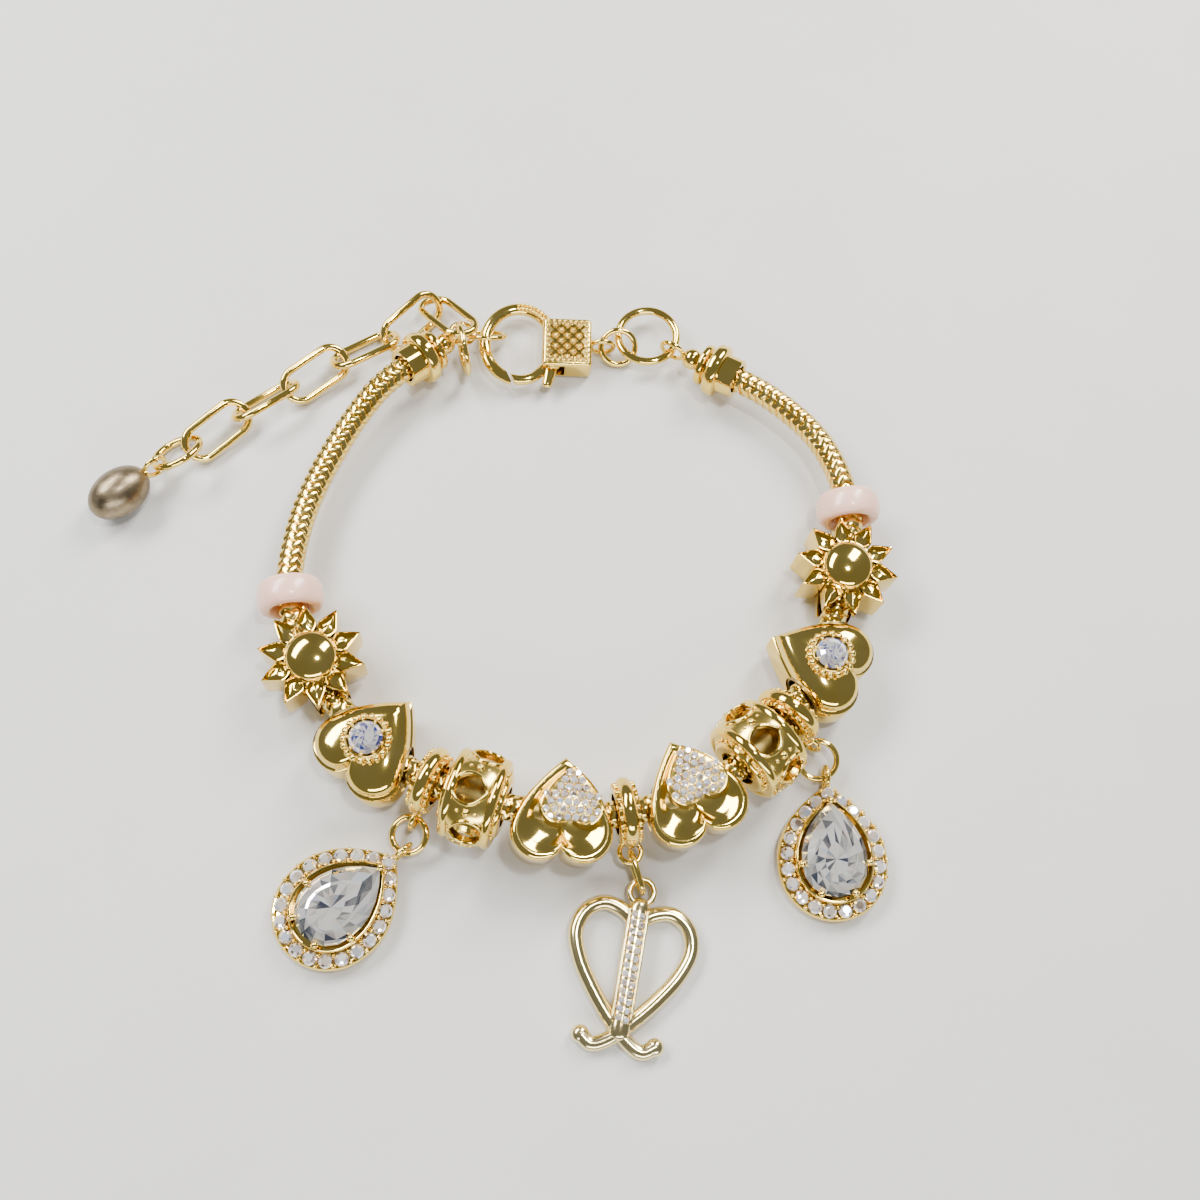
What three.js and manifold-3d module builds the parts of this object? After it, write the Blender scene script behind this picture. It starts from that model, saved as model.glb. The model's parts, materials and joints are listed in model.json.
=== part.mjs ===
// A charm bracelet that lies on a surface: a snake chain clasped into a loop, with charms strung
// along its front, three pendants laid flat, and an extender chain behind its clasp.
// Millimetres, +Z up. +X and +Y lie on the surface; the charms are at -Y and the clasp is at +Y.

import * as THREE from 'three';
import { mergeVertices } from 'three/addons/utils/BufferGeometryUtils.js';
import Module from 'manifold-3d';

const wasm = await Module();
wasm.setup();

// Room between pieces
const HOLE_CLEARANCE = 0.72;
const FIT_CLEARANCE = 0.3;
const BEAD_GAP = 0.34;
const LINK_PLAY = 0.3;
const FLOOR_PLAY = 0.05;

// Snake chain
const CHAIN_RADIUS = 1.55;
const CHAIN_SIDES = 10;
const CHAIN_STEPS = 38;
const HOLE_RADIUS = CHAIN_RADIUS + HOLE_CLEARANCE;
const HOLE_SIDES = 12;

// Size of the chain's loop, the share of it that the beads start from, and its route: each point's
// place across the loop and along it as shares of those sizes, and its height, from the left end cap
// round the front to the right end cap
const LOOP_WIDTH = 64.6;
const LOOP_LENGTH = 54.6;
const CENTRE_SHARE = 0.533;
const CHAIN_ROUTE = [
  [-0.34365, 0.52747, 3.35],
  [-0.37461, 0.49634, 3.7],
  [-0.41796, 0.44322, 3.7],
  [-0.48607, 0.31136, 3.1],
  [-0.5387, 0.13919, 3.3],
  [-0.54644, -0.04029, 4.0],
  [-0.47833, -0.21978, 3.7],
  [-0.34365, -0.38095, 4.6],
  [-0.16718, -0.4652, 5.55],
  [0.04334, -0.47253, 5.0],
  [0.21981, -0.38828, 5.55],
  [0.35449, -0.21062, 4.5],
  [0.43189, 0.01832, 3.7],
  [0.45356, 0.20147, 3.85],
  [0.41176, 0.35531, 3.4],
  [0.32508, 0.45604, 3.6],
  [0.26161, 0.5, 3.7],
  [0.22601, 0.52381, 3.35],
];

// End caps: lengths along the cap from its mouth, and radii
const CAP_SIDES = 10;
const SOCKET_CLEARANCE = 0.5;
const CAP_SOCKET_DEPTH = 2.6;
const CAP_SLOPE = -9;
const CAP_WALL = 0.35;
const CAP_WIDE_RADIUS = 3.2;
const CAP_NARROW_RADIUS = 2.55;
const CAP_GROOVE_RADIUS = 1.9;
const CAP_NECK_RADIUS = 1.0;
const CAP_BALL_RADIUS = 1.3;
const CAP_BALL_STATION = 6.3;

// Round wire rings: radius of the wire's centre line, and radius of the wire
const CAP_EYE = { radius: 1.45, wire: 0.3 };
const BEAD_EYE = { radius: 1.2, wire: 0.28, sides: 10 };
const PENDANT_EYE = { radius: 1.12, wire: 0.28, sides: 10 };
const SCROLL_EYE = { radius: 1.35, wire: 0.33, sides: 10 };
const TAIL_EYE = { radius: 1.4, wire: 0.32 };
const TAIL_RING = { radius: 2.1, wire: 0.38, roll: 38 };
const BIG_RING = { radius: 3.6, wire: 0.5, sides: 16 };
const CONNECTOR_RING = { radius: 2.95, wire: 0.35, sides: 16 };
const CLAW_RING = { radius: 2.4, wire: 0.29, sides: 14 };
const LEFT_RING = { radius: 1.95, wire: 0.36, heading: -110, roll: 12 };
const RIGHT_RING = { radius: 2.15, wire: 0.36, heading: -64, roll: 14 };
const END_RING = { radius: 2.9, wire: 0.45, sides: 14 };
const RING_SIDES = 12;
const WIRE_SIDES = 5;

// Long links: half of the straight side is added to each end of a round ring
const CENTRE_LINK = { radius: 1.15, wire: 0.33, straight: 2.3, sides: 10, heading: -72, roll: 90 };
const EXTENDER_LINK = { radius: 1.95, wire: 0.46, straight: 4.5, sides: 10 };

// Stoppers
const STOPPER_RADIUS = 3.75;
const STOPPER_LENGTH = 3.4;
const STOPPER_SIDES = 14;

// Sunflowers
const PETAL_COUNT = 10;
const PETAL_TIP_RADIUS = 5.95;
const PETAL_WIDTH = 2.7;
const FLOWER_THICKNESS = 5.6;
const FLOWER_DOME_RADIUS = 3.0;
const FLOWER_DOME_HEIGHT = 1.3;
const FLOWER_SIDES = 14;

// Stone-set puffed hearts
const STONE_HEART_WIDTH = 11.4;
const STONE_HEART_LENGTH = 11.6;
const STONE_HEART_THICKNESS = 7.0;
const COLLAR_RADIUS = 2.75;
const COLLAR_HEIGHT = 0.9;
const COLLAR_SHIFT = -0.8;
const ROUND_STONE_SIDES = 10;
const ROUND_STONE_RADIUS = 1.85;
const ROUND_STONE_DEPTH = 1.5;
const ROUND_STONE_CROWN = 0.75;

// Rimmed hearts with a small stone-set heart
const PAVE_HEART_WIDTH = 11.0;
const PAVE_HEART_LENGTH = 11.2;
const PAVE_HEART_THICKNESS = 6.0;
const PAVE_HEART_FLOOR = 1.1;
const INSET_WIDTH = 6.9;
const INSET_LENGTH = 6.5;
const INSET_SHIFT_X = 0.9;
const INSET_SHIFT_Y = 1.5;
const INSET_RISE = 0.5;
const PAVE_STONE_RADIUS = 0.7;
const PAVE_PITCH = 1.7;
const SET_STONE_SIDES = 8;

// Hearts' outline
const HEART_CLEFT_SHARE = 0.13;
const HEART_SHOULDER = 20;
const HEART_ARC_STEPS = 4;

// Openwork beads
const OPENWORK_RADIUS = 5.4;
const OPENWORK_LENGTH = 6.8;
const OPENWORK_WALL = 1.0;
const OPENWORK_RING_RADIUS = 3.5;
const OPENWORK_SIDES = 12;
const WINDOW_COUNT = 6;
const WINDOW_WIDTH = 3.3;
const WINDOW_LENGTH = 3.6;

// Dangle spacers
const SPACER_RADIUS = 3.9;
const SPACER_RING_RADIUS = 3.05;
const SPACER_LENGTH = 2.5;
const SPACER_SIDES = 12;
const SPACER_EYE_DROP = 35;

// Teardrop pendants
const LEFT_TEARDROP_HEADING = 41;
const RIGHT_TEARDROP_HEADING = 92;
const TEARDROP_WIDTH = 12.4;
const TEARDROP_LENGTH = 15.2;
const TEARDROP_BASE = 1.6;
const HALO_COUNT = 20;
const HALO_STONE_RADIUS = 0.85;
const HALO_STONE_RISE = 0.7;
const PEAR_WIDTH = 7.4;
const PEAR_LENGTH = 10.6;
const PEAR_DEPTH = 1.1;
const PEAR_CROWN = 0.9;
const BEZEL_WALL = 0.45;
const BEZEL_RISE = 1.1;
const TEARDROP_TIP_STEPS = 4;
const TEARDROP_ARC_STEPS = 9;

// Scroll pendant
const STEM_WIDTH = 2.5;
const STEM_HEIGHT = 2.1;
const BAR_WIDTH = 1.7;
const BAR_HEIGHT = 1.7;
const BAR_END_SHARE = 0.56;
const SCROLL_EYE_HEIGHT = 1.4;
const STEM_STONE_COUNT = 7;
const STEM_STONE_RADIUS = 0.78;

// Clasp, in its own frame: X along the clasp towards its tail, origin at the block's middle
const BLOCK_LENGTH = 6.0;
const BLOCK_WIDTH = 6.4;
const BLOCK_HEIGHT = 3.4;
const BLOCK_CORNER = 0.9;
const BLOCK_BEVEL = 0.3;
const CLAW_HALF_LENGTH = 4.25;
const CLAW_HALF_WIDTH = 4.85;
const CLAW_BAND_WIDTH = 1.5;
const CLAW_BAND_HEIGHT = 1.3;
const CLAW_CENTRE_X = -5.8;
const CLAW_START = 27;
const CLAW_TIP = 259;
const GATE_TIP = 255;
const GATE_ROOT = 294;
const GATE_WIDTH = 1.25;
const GATE_REACH = 5.5;
const GATE_GAP = 0.35;
const GATE_REACH_SIDES = 72;
const HUB_RADIUS = 1.25;
const HUB_HEIGHT = 1.6;
const HUB_INSET = 1.25;
const PIN_RADIUS = 0.5;
const THUMB_LENGTH = 3.7;
const THUMB_WIDTH = 0.95;
const THUMB_HEADING = -101;
const CLAW_DROP = 1.1;
const CLAW_WIRE_SHIFT = 0.5;
const CLAW_RING_ROLL = -53;
const CONNECTOR_SHIFT = -0.45;
const CONNECTOR_HEADING = 104;

// End bead
const END_BEAD_RADIUS = 2.7;
const END_BEAD_LENGTH = 7.6;
const END_BEAD_EYE = { radius: 1.3, wire: 0.3, sides: 10 };

const DEGREE = Math.PI / 180;
const WELD_DISTANCE = 1e-4;
const SLIVER = 0.03;

const gold = new THREE.MeshStandardMaterial({ color: 0xd8ab45, roughness: 0.18, metalness: 1 });
const bronze = new THREE.MeshStandardMaterial({ color: 0x9c8150, roughness: 0.4, metalness: 1 });
const silicone = new THREE.MeshStandardMaterial({ color: 0xf6e6e2, roughness: 0.45, metalness: 0 });
const crystal = new THREE.MeshStandardMaterial({ color: 0xf2f4fa, roughness: 0.03, metalness: 0 });

const bracelet = new THREE.Group();

// Helpers for closed solids

/** Merges shared corners, drops flat triangles and turns the faces outwards. */
function weld(geometry) {
  const plain = new THREE.BufferGeometry();
  plain.setAttribute('position', geometry.attributes.position);
  if (geometry.index) plain.setIndex(geometry.index);
  const merged = mergeVertices(plain, WELD_DISTANCE);
  const corners = merged.index.array;
  const kept = [];
  for (let i = 0; i < corners.length; i += 3) {
    const [a, b, c] = [corners[i], corners[i + 1], corners[i + 2]];
    if (a !== b && b !== c && c !== a) kept.push(a, b, c);
  }
  const position = merged.attributes.position;
  const [p, q, r] = [new THREE.Vector3(), new THREE.Vector3(), new THREE.Vector3()];
  let volume = 0;
  for (let i = 0; i < kept.length; i += 3) {
    p.fromBufferAttribute(position, kept[i]);
    q.fromBufferAttribute(position, kept[i + 1]);
    r.fromBufferAttribute(position, kept[i + 2]);
    volume += p.dot(q.cross(r));
  }
  if (volume < 0) kept.reverse();
  merged.setIndex(kept);
  return merged;
}

function solidOf(geometry) {
  const closed = weld(geometry);
  return new wasm.Manifold(new wasm.Mesh({
    numProp: 3,
    vertProperties: new Float32Array(closed.attributes.position.array),
    triVerts: new Uint32Array(closed.index.array),
  }));
}

function geometryOf(solid) {
  const mesh = solid.simplify(SLIVER).getMesh();
  const geometry = new THREE.BufferGeometry();
  geometry.setAttribute('position', new THREE.BufferAttribute(mesh.vertProperties, 3));
  geometry.setIndex(new THREE.BufferAttribute(mesh.triVerts, 1));
  return geometry;
}

function join(geometries) {
  return geometries.map(solidOf).reduce((sum, solid) => sum.add(solid));
}

function cut(solid, geometries) {
  return geometries.map(solidOf).reduce((rest, tool) => rest.subtract(tool), solid);
}

/** A closed body of revolution about +X from rows of [station along X, radius]. */
function turned(profile, sides) {
  const points = profile.map(([station, radius]) => new THREE.Vector2(radius, station));
  return new THREE.LatheGeometry(points, sides).rotateZ(-Math.PI / 2);
}

/** A round bar along X, centred on the origin. */
function crossBar(radius, length, sides = HOLE_SIDES) {
  return new THREE.CylinderGeometry(radius, radius, length, sides).rotateZ(Math.PI / 2);
}

/** A round bar along Z that stands from one height to another. */
function post(radius, bottom, top, sides = HOLE_SIDES) {
  return new THREE.CylinderGeometry(radius, radius, top - bottom, sides)
    .rotateX(Math.PI / 2)
    .translate(0, 0, (bottom + top) / 2);
}

function wireRing(ring) {
  return new THREE.TorusGeometry(ring.radius, ring.wire, WIRE_SIDES, ring.sides ?? RING_SIDES);
}

/** A long link: a round ring whose two ends are moved apart along X. */
function longLink(link) {
  const geometry = wireRing(link);
  geometry.rotateZ(Math.PI / 2);
  const position = geometry.attributes.position;
  for (let i = 0; i < position.count; i += 1) {
    const x = position.getX(i);
    position.setX(i, x + Math.sign(x) * link.straight / 2);
  }
  return geometry;
}

/** Stacks one outline at several heights: rows of [height, share of the outline's size]. */
function stacked(outline, rows) {
  const positions = [];
  for (const [height, share] of rows) {
    for (const point of outline) positions.push(point.x * share, point.y * share, height);
  }
  const count = outline.length;
  const index = [];
  for (let row = 0; row < rows.length - 1; row += 1) {
    for (let i = 0; i < count; i += 1) {
      const a = row * count + i;
      const b = row * count + (i + 1) % count;
      index.push(a, b, b + count, a, b + count, a + count);
    }
  }
  const cap = THREE.ShapeUtils.triangulateShape(outline, []);
  const top = (rows.length - 1) * count;
  for (const [a, b, c] of cap) {
    index.push(c, b, a);
    index.push(a + top, b + top, c + top);
  }
  const geometry = new THREE.BufferGeometry();
  geometry.setAttribute('position', new THREE.Float32BufferAttribute(positions, 3));
  geometry.setIndex(index);
  return geometry;
}

/** A cut stone: a table, a crown and a pavilion of flat facets round an outline. */
function cutStone(outline, crown, depth) {
  return stacked(outline, [
    [-depth, 0.12],
    [0, 1],
    [crown, 0.58],
  ]);
}

/** A small set stone that stands on its seat: facets round a table. */
function setStone(radius, rise, sink = 0.15) {
  return stacked(ngon(radius, SET_STONE_SIDES), [[-sink, 1], [rise, 0.6]]);
}

function ngon(radius, sides) {
  return Array.from({ length: sides }, (_, i) => {
    const angle = (i + 0.5) * 2 * Math.PI / sides;
    return new THREE.Vector2(radius * Math.cos(angle), radius * Math.sin(angle));
  });
}

/** A bar swept along a curve. Its section is a rectangle whose upper edges are chamfered. */
function sweptBar(curve, steps, width, height) {
  const [w, h] = [width / 2, height / 2];
  const chamfer = Math.min(w, h) * 0.5;
  const section = new THREE.Shape([
    [h, -w], [h, w], [chamfer - h, w], [-h, w - chamfer], [-h, chamfer - w], [chamfer - h, -w],
  ].map(([x, y]) => new THREE.Vector2(x, y)));
  return new THREE.ExtrudeGeometry(section, { steps, extrudePath: curve, bevelEnabled: false });
}

/** Heart outline about its middle: tip at +Y, cleft at -Y. */
function heartOutline(width, length) {
  const lobe = width * 0.285;
  const middle = width / 2 - lobe;
  const lobeY = lobe - length / 2;
  const cleft = Math.acos(Math.min(1, middle / lobe));
  const shoulder = HEART_SHOULDER * DEGREE;
  const shape = new THREE.Shape();
  const side = new THREE.Vector2(middle + lobe * Math.cos(shoulder), lobeY + lobe * Math.sin(shoulder));
  shape.moveTo(0, length / 2);
  shape.quadraticCurveTo(-side.x * 0.78, side.y + (length / 2 - side.y) * 0.5, -side.x, side.y);
  shape.absarc(-middle, lobeY, lobe, Math.PI - shoulder, 2 * Math.PI - cleft, false);
  shape.absarc(middle, lobeY, lobe, Math.PI + cleft, 2 * Math.PI + shoulder, false);
  shape.quadraticCurveTo(side.x * 0.78, side.y + (length / 2 - side.y) * 0.5, 0, length / 2);
  const points = shape.getPoints(HEART_ARC_STEPS);
  const cleftDepth = length * HEART_CLEFT_SHARE - length / 2;
  const raised = points.map((point) => {
    const nearCleft = Math.abs(point.x) < middle * 0.2 && point.y < 0;
    return nearCleft ? new THREE.Vector2(point.x, cleftDepth) : point;
  });
  return raised.filter((point, i) => point.distanceTo(raised[(i + 1) % raised.length]) > 0.05);
}

/** Teardrop outline about the middle of its round end: tip at +X. */
function teardropOutline(width, length, steps = TEARDROP_TIP_STEPS, arcSteps = TEARDROP_ARC_STEPS) {
  const radius = width / 2;
  const tip = length - radius;
  const shape = new THREE.Shape();
  shape.moveTo(tip, 0);
  shape.quadraticCurveTo(tip * 0.55, radius * 1.06, 0, radius);
  const arc = [];
  for (let i = 1; i < arcSteps; i += 1) {
    const angle = Math.PI / 2 + Math.PI * i / arcSteps;
    arc.push(new THREE.Vector2(radius * Math.cos(angle), radius * Math.sin(angle)));
  }
  const upper = shape.getPoints(steps);
  const lower = upper.slice(1).reverse().map((point) => new THREE.Vector2(point.x, -point.y));
  return [...upper, ...arc, ...lower];
}

/** Adds a piece at a point, turned by its heading, its slope along it and its roll about it. */
function addPiece(name, geometry, material, point, heading = 0, slope = 0, roll = 0) {
  const mesh = new THREE.Mesh(weld(geometry), material);
  mesh.name = name;
  mesh.position.copy(point);
  mesh.rotation.set(roll, -slope, heading, 'ZYX');
  bracelet.add(mesh);
  return mesh;
}

const headingOf = (vector) => Math.atan2(vector.y, vector.x);
const slopeOf = (vector) => Math.atan2(vector.z, Math.hypot(vector.x, vector.y));
const flatDirection = (heading) => new THREE.Vector3(Math.cos(heading), Math.sin(heading), 0);

/** Half of a ring's or link's length, to the middle of its wire. */
function wireHalf(ring) {
  return ring.radius * Math.cos(Math.PI / (ring.sides ?? RING_SIDES)) + (ring.straight ?? 0) / 2;
}

/** Half of the clear length inside a ring or link. */
function innerHalf(ring) {
  return wireHalf(ring) - ring.wire;
}

/** Distance between the middles of two linked rings with a little play. */
function linkReach(a, b, play = LINK_PLAY) {
  return innerHalf(a) + innerHalf(b) - play;
}

/** Height at which a rolled ring rests on the surface. */
function restHeight(ring, roll) {
  return Math.abs(Math.sin(roll)) * ring.radius + ring.wire + FLOOR_PLAY;
}

// Chain

const route = new THREE.CatmullRomCurve3(CHAIN_ROUTE.map(([across, along, height]) => (
  new THREE.Vector3(across * LOOP_WIDTH, along * LOOP_LENGTH, height)
)));
const routeLength = route.getLength();
const pointAt = (station) => route.getPointAt(station / routeLength);
const tangentAt = (station) => route.getTangentAt(station / routeLength);

function addChain() {
  const section = new THREE.Shape(ngon(CHAIN_RADIUS, CHAIN_SIDES));
  const options = { steps: CHAIN_STEPS, extrudePath: route, bevelEnabled: false };
  addPiece('snake_chain', new THREE.ExtrudeGeometry(section, options), gold, new THREE.Vector3());
}

// End caps

function capGeometry() {
  const bore = CHAIN_RADIUS + SOCKET_CLEARANCE;
  const wall = bore + CAP_WALL;
  const ball = [-40, 0, 40].map((angle) => [
    CAP_BALL_STATION + CAP_BALL_RADIUS * Math.sin(angle * DEGREE),
    CAP_BALL_RADIUS * Math.cos(angle * DEGREE),
  ]);
  const profile = [
    [CAP_SOCKET_DEPTH, 0], [CAP_SOCKET_DEPTH, bore], [0, bore], [0, wall], [2.1, wall],
    [2.2, CAP_WIDE_RADIUS - 0.2], [2.5, CAP_WIDE_RADIUS], [3.2, CAP_WIDE_RADIUS],
    [3.5, CAP_WIDE_RADIUS - 0.2], [3.6, CAP_GROOVE_RADIUS], [4.1, CAP_GROOVE_RADIUS],
    [4.2, CAP_NARROW_RADIUS], [4.9, CAP_NARROW_RADIUS], [5.1, CAP_NECK_RADIUS],
    ...ball, [CAP_BALL_STATION + CAP_BALL_RADIUS, 0],
  ];
  return turned(profile, CAP_SIDES);
}

const capEyeStation = CAP_BALL_STATION + CAP_BALL_RADIUS + CAP_EYE.radius;

/** Adds an end cap over one end of the chain and returns the middle of its eye. */
function addEndCap(name, chainEnd, inwardPoint, eyeRoll) {
  const slope = CAP_SLOPE * DEGREE;
  const heading = headingOf(chainEnd.clone().sub(inwardPoint));
  const along = flatDirection(heading).multiplyScalar(Math.cos(slope)).setZ(Math.sin(slope));
  const mouth = chainEnd.clone().addScaledVector(along, FIT_CLEARANCE - CAP_SOCKET_DEPTH);
  const eye = wireRing(CAP_EYE).rotateX(eyeRoll).translate(capEyeStation, 0, 0);
  addPiece(name, geometryOf(join([capGeometry(), eye])), gold, mouth, heading, slope);
  return mouth.addScaledVector(along, capEyeStation);
}

// Beads, each modelled with the chain along X, the inside of the loop at +Y and its face up

function stopperGeometry() {
  const bore = CHAIN_RADIUS + FIT_CLEARANCE * 1.3;
  const [middle, half] = [(STOPPER_RADIUS + bore) / 2, (STOPPER_RADIUS - bore) / 2];
  const profile = [];
  for (let i = 0; i <= 8; i += 1) {
    const angle = -Math.PI / 2 + 2 * Math.PI * i / 8;
    const bulge = 1.12;
    const station = Math.max(-1, Math.min(1, bulge * Math.sin(angle))) * STOPPER_LENGTH / 2;
    profile.push([station, middle + half * Math.max(-1, Math.min(1, bulge * Math.cos(angle)))]);
  }
  return turned(profile, STOPPER_SIDES);
}

function petalGeometry(angle) {
  const [root, tip, half] = [FLOWER_DOME_RADIUS * 0.75, PETAL_TIP_RADIUS, PETAL_WIDTH / 2];
  const middle = (root + tip) / 2;
  const outline = [
    [root, -half * 0.4], [middle + 0.3, -half], [tip, 0], [middle + 0.3, half], [root, half * 0.4],
  ].map(([x, y]) => new THREE.Vector2(x - middle, y));
  const top = FLOWER_THICKNESS / 2;
  return stacked(outline, [
    [-top, 0.9],
    [top, 0.96],
    [top - 0.45, 0.5],
  ]).translate(middle, 0, 0).rotateZ(angle);
}

function sunflowerGeometry() {
  const half = FLOWER_THICKNESS / 2;
  const core = turned([
    [-half, 0], [-half, FLOWER_DOME_RADIUS - 0.3], [half - 0.2, FLOWER_DOME_RADIUS],
    [half + FLOWER_DOME_HEIGHT * 0.6, FLOWER_DOME_RADIUS * 0.74],
    [half + FLOWER_DOME_HEIGHT, FLOWER_DOME_RADIUS * 0.25], [half + FLOWER_DOME_HEIGHT, 0],
  ], FLOWER_SIDES).rotateY(-Math.PI / 2);
  const petals = Array.from({ length: PETAL_COUNT }, (_, i) => (
    petalGeometry((i + 0.5) * 2 * Math.PI / PETAL_COUNT)
  ));
  return geometryOf(cut(join([core, ...petals]), [crossBar(HOLE_RADIUS, 4 * PETAL_TIP_RADIUS)]));
}

const stoneSeatTop = STONE_HEART_THICKNESS / 2 + COLLAR_HEIGHT;

function stoneHeartGeometry() {
  const half = STONE_HEART_THICKNESS / 2;
  const body = stacked(heartOutline(STONE_HEART_WIDTH, STONE_HEART_LENGTH), [
    [-half, 0.84], [1.0 - half, 1], [0.9, 1], [1.15, 0.955],
    [half - 1.3, 0.93], [half - 0.5, 0.82], [half, 0.6],
  ]);
  const collar = post(COLLAR_RADIUS, 0.5, stoneSeatTop, FLOWER_SIDES).translate(0, COLLAR_SHIFT, 0);
  const seat = ROUND_STONE_RADIUS + FIT_CLEARANCE;
  const pocket = stacked(ngon(seat, ROUND_STONE_SIDES), [
    [stoneSeatTop - ROUND_STONE_DEPTH - FIT_CLEARANCE, 1], [stoneSeatTop + 1, 1],
  ]);
  return geometryOf(cut(join([body, collar]), [
    crossBar(HOLE_RADIUS, 2 * STONE_HEART_WIDTH),
    pocket.translate(0, COLLAR_SHIFT, 0),
  ]));
}

function paveStones(width, length) {
  const inside = heartOutline(width - 2 * PAVE_STONE_RADIUS, length - 2 * PAVE_STONE_RADIUS);
  const stones = [];
  const rows = Math.round(length / PAVE_PITCH);
  for (let row = -rows; row <= rows; row += 1) {
    for (let column = -rows; column <= rows; column += 1) {
      const x = (column + (row % 2 === 0 ? 0 : 0.5)) * PAVE_PITCH;
      const y = row * PAVE_PITCH * 0.87;
      if (insideOutline(inside, x, y)) stones.push([x, y]);
    }
  }
  return stones;
}

function insideOutline(outline, x, y) {
  let inside = false;
  outline.forEach((a, i) => {
    const b = outline[(i + 1) % outline.length];
    const crosses = (a.y > y) !== (b.y > y) && x < (b.x - a.x) * (y - a.y) / (b.y - a.y) + a.x;
    if (crosses) inside = !inside;
  });
  return inside;
}

function paveHeartGeometry() {
  const half = PAVE_HEART_THICKNESS / 2;
  const floor = half - PAVE_HEART_FLOOR;
  const body = stacked(heartOutline(PAVE_HEART_WIDTH, PAVE_HEART_LENGTH), [
    [-half, 0.84], [1.1 - half, 1], [half - 0.3, 0.98], [half, 0.92], [floor, 0.55],
  ]);
  const inset = stacked(heartOutline(INSET_WIDTH, INSET_LENGTH), [
    [floor - 1.0, 1], [half - 0.1, 1], [half + INSET_RISE, 0.72],
  ]).translate(INSET_SHIFT_X, INSET_SHIFT_Y, 0);
  const stones = paveStones(INSET_WIDTH * 0.86, INSET_LENGTH * 0.86).map(([x, y]) => {
    const fall = (Math.hypot(x, y) / INSET_WIDTH) ** 2 * 1.6;
    return setStone(PAVE_STONE_RADIUS, 0.45, 0.5)
      .translate(x + INSET_SHIFT_X, y + INSET_SHIFT_Y, half + INSET_RISE - fall);
  });
  return geometryOf(cut(join([body, inset, ...stones]), [crossBar(HOLE_RADIUS, 2 * PAVE_HEART_WIDTH)]));
}

/** Teardrop-shaped window, cut from the bead's axis outwards at an angle about it. */
function windowGeometry(angle) {
  const outline = teardropOutline(WINDOW_WIDTH, WINDOW_LENGTH + 0.6, 2, 4);
  return stacked(outline, [[OPENWORK_RING_RADIUS - 0.6, 1], [OPENWORK_RADIUS * 1.3, 1]])
    .translate(-0.4, 0, 0)
    .rotateX(angle);
}

function openworkGeometry() {
  const [half, wall] = [OPENWORK_LENGTH / 2, OPENWORK_WALL];
  const barrel = [[-0.78, 0.66], [-0.5, 0.9], [-0.15, 1], [0.15, 1], [0.5, 0.9], [0.78, 0.66]];
  const outer = barrel.map(([along, share]) => [along * half, share * OPENWORK_RADIUS]);
  const inner = [[0.45, 0.84], [-0.45, 0.84]]
    .map(([along, share]) => [along * half, share * OPENWORK_RADIUS]);
  const ring = OPENWORK_RING_RADIUS;
  const profile = [
    [-half, HOLE_RADIUS], [-half, ring - 0.1], [0.6 - half, ring],
    ...outer,
    [half - 0.6, ring], [half, ring - 0.1], [half, HOLE_RADIUS],
    [half - wall, HOLE_RADIUS], ...inner, [wall - half, HOLE_RADIUS], [-half, HOLE_RADIUS],
  ];
  const windows = Array.from({ length: WINDOW_COUNT }, (_, i) => (
    windowGeometry(i * 2 * Math.PI / WINDOW_COUNT)
  ));
  return geometryOf(cut(join([turned(profile, OPENWORK_SIDES)]), windows));
}

const spacerEyeReach = SPACER_RADIUS + BEAD_EYE.radius - BEAD_EYE.wire;

/** Round spacer with an eye at its outer side. The eye's hole runs along the chain or across it. */
function spacerGeometry(eyeAcross) {
  const [half, ring] = [SPACER_LENGTH / 2, SPACER_RING_RADIUS];
  const profile = [
    [-half, HOLE_RADIUS], [-half, ring], [0.35 - half, ring + 0.05],
    [-0.4, SPACER_RADIUS], [0.4, SPACER_RADIUS],
    [half - 0.35, ring + 0.05], [half, ring], [half, HOLE_RADIUS], [-half, HOLE_RADIUS],
  ];
  const eye = wireRing(BEAD_EYE);
  if (eyeAcross) eye.rotateX(-SPACER_EYE_DROP * DEGREE);
  else eye.rotateX(Math.PI / 2).rotateZ(Math.PI / 2);
  eye.translate(0, -spacerEyeReach, 0).rotateX(SPACER_EYE_DROP * DEGREE);
  const spacer = join([turned(profile, SPACER_SIDES), eye]);
  return geometryOf(cut(spacer, [crossBar(HOLE_RADIUS, 2 * SPACER_LENGTH)]));
}

function roundStoneGeometry() {
  return cutStone(ngon(ROUND_STONE_RADIUS, ROUND_STONE_SIDES), ROUND_STONE_CROWN, ROUND_STONE_DEPTH);
}

// Half of each bead's length along the chain
const HALF_LENGTH = {
  spacer: SPACER_LENGTH / 2,
  paveHeart: PAVE_HEART_WIDTH / 2,
  openwork: OPENWORK_LENGTH / 2,
  stoneHeart: STONE_HEART_WIDTH / 2,
  sunflower: PETAL_TIP_RADIUS * Math.cos(Math.PI / PETAL_COUNT),
  stopper: STOPPER_LENGTH / 2,
};
const SIDE_ORDER = ['paveHeart', 'openwork', 'spacer', 'stoneHeart', 'sunflower', 'stopper'];

// How far inwards each bead still has its full length, where a bend closes the gap to the next one
const RIM_REACH = {
  spacer: SPACER_RING_RADIUS,
  paveHeart: 0.5,
  openwork: OPENWORK_RING_RADIUS,
  stoneHeart: 0.5,
  sunflower: 0.9 * PETAL_TIP_RADIUS * Math.sin(Math.PI / PETAL_COUNT),
  stopper: STOPPER_RADIUS * 0.7,
};

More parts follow.
